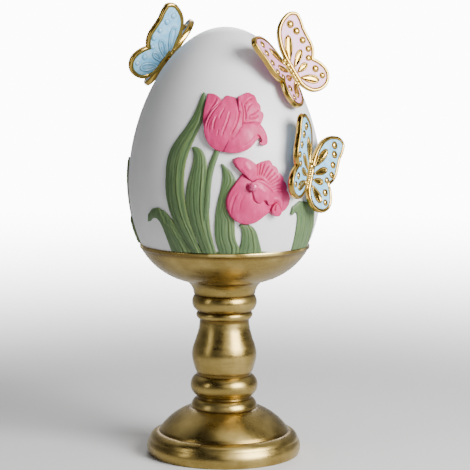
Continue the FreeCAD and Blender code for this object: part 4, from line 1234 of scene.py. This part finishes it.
def drop_bed(drop, level):
    """The painted shadow round a drop: a thin dark bed on the enamel."""
    root, tip = drop_ends(drop)
    way = (tip - root).normalized()
    length = (tip - root).length + 2 * BED_REACH * MM
    piece = drop_shape((drop[2] + BED_REACH) * MM, length)
    edit_all()
    extrude_up(SETTING_DEPTH + BED_THICKNESS)
    edit_done()
    darken(piece)
    return place_drop(piece, root - way * BED_REACH * MM, way, level)


def dot_bed(dot, level):
    """The painted shadow round a dot: a thin dark bed on the enamel."""
    deselect()
    place = Vector((dot[0][0] * MM, dot[0][1] * MM, (level + (BED_THICKNESS - SETTING_DEPTH) / 2) * MM))
    bpy.ops.mesh.primitive_cylinder_add(vertices=BED_FACETS, radius=(dot[1] + BED_REACH) * MM,
                                        depth=(SETTING_DEPTH + BED_THICKNESS) * MM, location=place)
    piece = bpy.context.object
    bpy.ops.object.transform_apply(location=True, rotation=False, scale=False)
    darken(piece)
    return piece


def rounded_lump(place, radius, stretch, segments, rings):
    """A ball at a place, stretched or flattened along each axis, with its place in its mesh."""
    deselect()
    bpy.ops.mesh.primitive_uv_sphere_add(segments=segments, ring_count=rings, radius=radius, location=place)
    piece = bpy.context.object
    edit_all()
    bpy.ops.transform.resize(value=stretch, center_override=place)
    edit_done()
    bpy.ops.object.transform_apply(location=True, rotation=False, scale=False)
    return piece


def wing_dot(dot, level, height):
    """A raised round dot whose middle lies at a level and whose top stands over it by a height in metres."""
    place = Vector((dot[0][0] * MM, dot[0][1] * MM, level * MM))
    radius = dot[1] * MM
    return rounded_lump(place, radius, (1, 1, height / radius), *DOT_FACETS)


def body_casting():
    """The body: a row of lumps that run together, from head to tail."""
    lumps = []
    for along, radius, half_length in BODY_LUMPS:
        place = Vector((0, along * MM, 0))
        lumps.append(rounded_lump(place, radius * MM, (1, half_length / radius, 1), *LUMP_FACETS))
    return melted(lumps, "body", 4)


def melted(parts, name, softness):
    """One smooth skin round parts that overlap."""
    piece = join(parts, name)
    apply_modifier(piece, "REMESH", mode="VOXEL", voxel_size=SKIN_GRAIN, use_smooth_shade=True)
    edit_all()
    bpy.ops.mesh.vertices_smooth(factor=0.5, repeat=softness)
    edit_done()
    return piece


def wing_pair(flat_wing, rise, name):
    """Copies a flat right wing twice, raises the copies at the hinge, and mirrors one to the left."""
    right, left = copy_of(flat_wing, name), copy_of(flat_wing, name)
    raised = Matrix.Translation((WING_HINGE * MM, 0, 0)) @ Matrix.Rotation(-rise, 4, "Y")
    right.data.transform(raised)
    left.data.transform(Matrix.Scale(-1, 4, (1, 0, 0)) @ raised)
    flip(left)
    return [right, left]


def seat_matrix(place):
    """Where a butterfly's own frame lies over its seat on the egg, and the direction of its boss."""
    azimuth, level_share, heading, pitch, roll, _, stand_off = place
    level = EGG_CENTRE + level_share * EGG_HALF_LENGTH
    turn = math.radians(azimuth)
    outward = Vector(egg_outward(np.array(turn), np.array(level)))
    east = Vector((math.cos(turn), math.sin(turn), 0))
    north = outward.cross(east)
    on_egg = Matrix((east, north, outward)).transposed().to_4x4()
    radius = float(egg_radius(level))
    seat = Vector((radius * math.sin(turn), -radius * math.cos(turn), level))
    own = (Matrix.Rotation(math.radians(heading), 4, "Z") @ Matrix.Rotation(math.radians(pitch), 4, "X")
           @ Matrix.Rotation(math.radians(roll), 4, "Y"))
    return Matrix.Translation(seat + outward * stand_off * MM) @ on_egg @ own, seat, outward


def casting_boss(seat, outward, stand_off, sizes):
    """The boss between the egg and the body."""
    deselect()
    length = stand_off - BOSS_CLEARANCE
    bpy.ops.mesh.primitive_cylinder_add(vertices=BOSS_FACETS, radius=sizes.boss_radius, depth=length)
    boss = bpy.context.object
    edit_all()
    bpy.ops.mesh.bevel(offset=BOSS_BEVEL, segments=3)
    edit_done()
    turned = outward.to_track_quat("Z", "Y").to_matrix().to_4x4()
    boss.data.transform(Matrix.Translation(seat + outward * (BOSS_CLEARANCE + length / 2)) @ turned)
    return boss


def gold_wing(sizes):
    """A right wing's casting with the drops and dots on its upper side, each in its dark bed of painted
    shadow.
    """
    parts = [wing_casting()]
    for drop in WING_DROPS:
        parts.append(wing_drop(drop, UPPER_ENAMEL_LEVEL, sizes.drop_stretch))
        parts.append(drop_bed(drop, UPPER_ENAMEL_LEVEL))
    for dot in WING_DOTS:
        height = sizes.dot_height * dot[1] / WING_DOTS[0][1]
        parts.append(wing_dot(dot, UPPER_ENAMEL_LEVEL - DOT_DEPTH, height))
        parts.append(dot_bed(dot, UPPER_ENAMEL_LEVEL))
    return join(parts, "gold_wing")


def under_enamel():
    """The under side's enamel, which covers the drops and dots that stand out of the casting there."""
    top = UNDER_ENAMEL_LEVEL
    parts = [wing_enamel(UNDER_ENAMEL_INSET, UNDER_ENAMEL_BACK, top, UNDER_HINGE_REACH)]
    for drop in WING_DROPS:
        parts.append(wing_drop(drop, top, UNDER_DROP_STRETCH))
    for place, radius in WING_DOTS:
        parts.append(wing_dot((place, radius * UNDER_DOT_SHARE), top - UNDER_DOT_DEPTH, UNDER_DOT_HEIGHT))
    piece = melted(parts, "under_parts", 2)
    mark_hollows(piece)
    turn_over(piece)
    return piece


def mark_hollows(piece):
    """Writes how near each low place of the enamel is to a raised one, for the line of painted shade round
    these.
    """
    places = vertex_places(piece)
    height = places[:, 2] / MM - UNDER_ENAMEL_LEVEL
    raised = np.nonzero(height > RAISED_HEIGHT)[0]
    tree = kdtree.KDTree(len(raised))
    for index in raised:
        tree.insert(places[index], int(index))
    tree.balance()
    hollow_shade = np.zeros(len(places))
    for index in np.nonzero((height > HOLLOW_DEPTH) & (height <= RAISED_HEIGHT))[0]:
        gap = tree.find(places[index])[2] / MM
        hollow_shade[index] = math.exp(-(gap / HOLLOW_REACH) ** 2)
    write_attribute(piece, "hollow_shade", hollow_shade)


def butterfly_patterns(sizes):
    """What every butterfly repeats: its flat right wing, the enamel on the wing's two sides, and its body."""
    return {
        "wing": gold_wing(sizes),
        "upper": wing_enamel(UPPER_ENAMEL_INSET, 0.0, UPPER_ENAMEL_LEVEL),
        "under": under_enamel(),
        "body": body_casting(),
    }


def cast_butterfly(name, place, patterns, sizes, gold, colour_material):
    """One butterfly from the patterns: gold casting, upper enamel and under enamel."""
    rise, stand_off = math.radians(place[-2]), place[-1] * MM
    matrix, seat, outward = seat_matrix(place)
    wings = wing_pair(patterns["wing"], rise, name + "_wing")
    casting = join(wings + [copy_of(patterns["body"], name + "_body")], name + "_casting")
    casting.data.transform(matrix)
    casting = join([casting, casting_boss(seat, outward, stand_off, sizes)], name + "_casting")
    only(casting)
    bpy.ops.object.shade_smooth_by_angle(angle=CASTING_EDGE_ANGLE)
    finish_piece(casting, gold, [name])
    upper = join(wing_pair(patterns["upper"], rise, name + "_cell"), name + "_upper_fill")
    upper.data.transform(matrix)
    only(upper)
    bpy.ops.object.shade_smooth_by_angle(angle=CASTING_EDGE_ANGLE)
    finish_piece(upper, colour_material, [name + "_enamel_upper"])
    under = join(wing_pair(patterns["under"], rise, name + "_back"), name + "_under_fill")
    under.data.transform(matrix)
    finish_piece(under, colour_material, [name + "_enamel_under"])


# Operators, one for each group of pieces


class EGG_OT_paint_egg(bpy.types.Operator):
    """Paint the egg white and lay the felt's finish"""

    bl_idname = "egg_ornament.paint_egg"
    bl_label = "Paint Egg"

    def execute(self, context):
        colours = context.scene.ornament_colours
        paint_node("egg_shell", white_paint(colours))
        paint_node("felt_pad", felt(colours))
        return {"FINISHED"}


class EGG_OT_turn_pedestal(bpy.types.Operator):
    """Turn the pedestal and gild it"""

    bl_idname = "egg_ornament.turn_pedestal"
    bl_label = "Turn Pedestal"

    def execute(self, context):
        piece = turn_pedestal(context.scene.ornament_sizes)
        finish_piece(piece, antique_gold(context.scene.ornament_colours), ["pedestal"])
        return {"FINISHED"}


class EGG_OT_carve_leaves(bpy.types.Operator):
    """Carve every leaf and the tulip's stem"""

    bl_idname = "egg_ornament.carve_leaves"
    bl_label = "Carve Leaves"

    def execute(self, context):
        colours = context.scene.ornament_colours
        paint, wash, brush = colours.leaf, colours.leaf_shade, colours.leaf_light
        material = carved_paint("Leaf Paint", paint, wash, brush, wash_strength=0.85, brush_strength=0.65)
        names = sorted(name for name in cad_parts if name.startswith(("leaf_", "tulip_stem")))
        for seed, name in enumerate(names):
            piece = carve_leaf(name, context.scene.ornament_sizes, float(seed))
            finish_piece(piece, material, [name])
        return {"FINISHED"}


class EGG_OT_carve_tulips(bpy.types.Operator):
    """Carve the petals of both tulips and set the bead"""

    bl_idname = "egg_ornament.carve_tulips"
    bl_label = "Carve Tulips"

    def execute(self, context):
        colours = context.scene.ornament_colours
        paint, wash, brush = colours.tulip, colours.tulip_shade, colours.tulip_light
        material = carved_paint("Tulip Paint", paint, wash, brush, wash_strength=0.6, brush_strength=0.7)
        for name in PETAL_LINES:
            piece = carve_petal(name, context.scene.ornament_sizes)
            finish_piece(piece, material, [name])
        paint_node("dew_bead", clear_bead(colours))
        return {"FINISHED"}


class EGG_OT_cast_butterflies(bpy.types.Operator):
    """Cast the three butterflies and fill their wings with enamel"""

    bl_idname = "egg_ornament.cast_butterflies"
    bl_label = "Cast Butterflies"

    def execute(self, context):
        sizes, colours = context.scene.ornament_sizes, context.scene.ornament_colours
        gold = gold_plate(colours)
        enamels = {
            "enamel_pink": enamel("Pink Enamel", colours.enamel_pink),
            "enamel_blue": enamel("Blue Enamel", colours.enamel_blue),
        }
        patterns = butterfly_patterns(sizes)
        for name, place in BUTTERFLIES.items():
            slot = "enamel_pink" if "pink" in name else "enamel_blue"
            cast_butterfly(name, place, patterns, sizes, gold, enamels[slot])
        for pattern in patterns.values():
            bpy.data.objects.remove(pattern)
        return {"FINISHED"}


# The stage's lights: azimuth and elevation in degrees, distance from the object, width and height in metres,
# and watts
STUDIO_LIGHTS = {
    "key_box": (50.0, 22.0, 1.1, 0.66, 0.6, 34.0),
    "front_box": (8.0, 22.0, 1.2, 0.34, 0.6, 0.95),
    "left_box": (-62.0, 16.0, 1.2, 0.2, 0.6, 1.8),
    "top_box": (30.0, 75.0, 1.3, 0.8, 0.8, 4.0),
    "back_box": (180.0, 30.0, 1.4, 0.6, 0.6, 10.0),
}
LIGHT_AIM = Vector((0, 0, 0.17))
FLOOR_SIZE = 4.0
FLOOR_GREYS = (0.66, 0.68)
# Distances from the object at which the floor begins to fade into the white and at which it has gone
FLOOR_FADE = (0.25, 1.7)
# The world's white as the camera sees it past the floor, and the little light that the world gives
SEEN_WHITE = 12.0
WORLD_LIGHT = (0.015, 0.015, 0.016)
# The world's greys in reflections: a range of the direction's Y or Z, and the greys at its ends
GREY_BEHIND = (-0.2, 0.9, 0.01, 0.28)
GREY_HORIZON = (0.3, -0.05, 0.0, 0.2)
GREY_HIGH = (0.4, 0.75)
GREY_HIGH_BEHIND = (0.0, 0.35, 0.0, 0.6)
# The photograph's view: place in metres, turns in degrees, lens and sensor in millimetres
CAMERA_PLACE = (0.0, -1.2, 0.2925)
CAMERA_PITCH, CAMERA_YAW, CAMERA_ROLL = 6.81, 0.33, 0.30
CAMERA_LENS, CAMERA_SENSOR = 137.18, 36.0


class EGG_OT_set_stage(bpy.types.Operator):
    """Lay the floor, hang the lights and place the camera"""

    bl_idname = "egg_ornament.set_stage"
    bl_label = "Set Stage"

    def execute(self, context):
        self.lay_floor()
        self.hang_lights()
        self.set_world(context)
        self.set_camera(context)
        return {"FINISHED"}

    def lay_floor(self):
        """A plain pale floor that fades into the white with its distance from the object."""
        deselect()
        bpy.ops.mesh.primitive_plane_add(size=FLOOR_SIZE)
        floor = bpy.context.object
        floor.name = "studio_floor"
        material, tree, shader, place = new_material("Studio Floor", Roughness=0.9)
        dark, light = (rgba((grey, grey, grey)) for grey in FLOOR_GREYS)
        shade = mix_colours(tree, noise(tree, place, 3.0), dark, light)
        tree.links.new(shade, shader.inputs["Base Color"])
        reach = add_node(tree, "ShaderNodeVectorMath", {"operation": "LENGTH"}, _0=place).outputs[1]
        tree.links.new(spread(tree, reach, FLOOR_FADE[1], FLOOR_FADE[0]), shader.inputs["Alpha"])
        floor.data.materials.append(material)

    def hang_lights(self):
        """Soft boxes round the object, each turned towards it."""
        for name, (azimuth, elevation, distance, width, height, watts) in STUDIO_LIGHTS.items():
            turn, climb = math.radians(azimuth), math.radians(elevation)
            across = math.cos(climb)
            way = Vector((math.sin(turn) * across, -math.cos(turn) * across, math.sin(climb)))
            bpy.ops.object.light_add(type="AREA", location=LIGHT_AIM + way * distance)
            light = bpy.context.object
            light.name = name
            light.rotation_euler = way.to_track_quat("Z", "Y").to_euler()
            light.data.shape = "RECTANGLE"
            light.data.size = width
            light.data.size_y = height
            light.data.energy = watts
            light.visible_camera = False

    def set_world(self, context):
        """White to the eye and nearly black for light. Reflections find grey at the horizon and behind."""
        world = bpy.data.worlds.new("Studio")
        context.scene.world = world
        world.use_nodes = True
        tree = world.node_tree
        background = tree.nodes["Background"]
        _, y, z = apart(tree, add_node(tree, "ShaderNodeTexCoord").outputs["Generated"])
        low = calculate(tree, "ADD", spread(tree, y, *GREY_BEHIND), spread(tree, z, *GREY_HORIZON))
        high, high_behind = spread(tree, z, *GREY_HIGH), spread(tree, y, *GREY_HIGH_BEHIND)
        grey = calculate(tree, "MULTIPLY_ADD", high, high_behind, low)
        ray = add_node(tree, "ShaderNodeLightPath").outputs
        mirrored = calculate(tree, "MULTIPLY", grey, ray["Is Glossy Ray"])
        room = mix_colours(tree, mirrored, rgba(WORLD_LIGHT), WHITE)
        seen = ray["Is Camera Ray"]
        tree.links.new(mix_colours(tree, seen, room, WHITE), background.inputs["Color"])
        tree.links.new(spread(tree, seen, 0.0, 1.0, 1.0, SEEN_WHITE), background.inputs["Strength"])

    def set_camera(self, context):
        """The photograph's own view."""
        pitch, yaw, roll = (math.radians(angle) for angle in (CAMERA_PITCH, CAMERA_YAW, CAMERA_ROLL))
        forward = Vector((math.sin(yaw) * math.cos(pitch), math.cos(yaw) * math.cos(pitch), -math.sin(pitch)))
        level_right = forward.cross(Vector((0, 0, 1))).normalized()
        level_up = level_right.cross(forward)
        right = level_right * math.cos(roll) + level_up * math.sin(roll)
        up = level_up * math.cos(roll) - level_right * math.sin(roll)
        bpy.ops.object.camera_add(location=CAMERA_PLACE)
        camera = bpy.context.object
        camera.name = "photo_camera"
        camera.rotation_euler = Matrix((right, up, -forward)).transposed().to_euler()
        camera.data.lens = CAMERA_LENS
        camera.data.sensor_width = CAMERA_SENSOR
        camera.data.clip_start = 0.05
        context.scene.camera = camera


class EGG_PT_ornament(bpy.types.Panel):
    """The ornament's sizes, colours and making"""

    bl_label = "Egg Ornament"
    bl_space_type = "VIEW_3D"
    bl_region_type = "UI"
    bl_category = "Egg Ornament"

    def draw(self, context):
        layout = self.layout
        for group in (context.scene.ornament_sizes, context.scene.ornament_colours):
            box = layout.box()
            for name in group.bl_rna.properties.keys():
                if name not in ("rna_type", "name"):
                    box.prop(group, name)
        for operator in OPERATORS:
            layout.operator(operator.bl_idname)


OPERATORS = (
    EGG_OT_paint_egg,
    EGG_OT_turn_pedestal,
    EGG_OT_carve_leaves,
    EGG_OT_carve_tulips,
    EGG_OT_cast_butterflies,
    EGG_OT_set_stage,
)
CLASSES = (OrnamentSizes, OrnamentColours) + OPERATORS + (EGG_PT_ornament,)


def register():
    for item in CLASSES:
        bpy.utils.register_class(item)
    bpy.types.Scene.ornament_sizes = PointerProperty(type=OrnamentSizes)
    bpy.types.Scene.ornament_colours = PointerProperty(type=OrnamentColours)


def unregister():
    del bpy.types.Scene.ornament_colours
    del bpy.types.Scene.ornament_sizes
    for item in reversed(CLASSES):
        bpy.utils.unregister_class(item)


def main():
    register()
    unevenness_group()
    wash_group()
    gilding_group()
    bpy.ops.egg_ornament.paint_egg()
    bpy.ops.egg_ornament.turn_pedestal()
    bpy.ops.egg_ornament.carve_leaves()
    bpy.ops.egg_ornament.carve_tulips()
    bpy.ops.egg_ornament.cast_butterflies()
    bpy.ops.egg_ornament.set_stage()


if __name__ == "__main__":
    main()
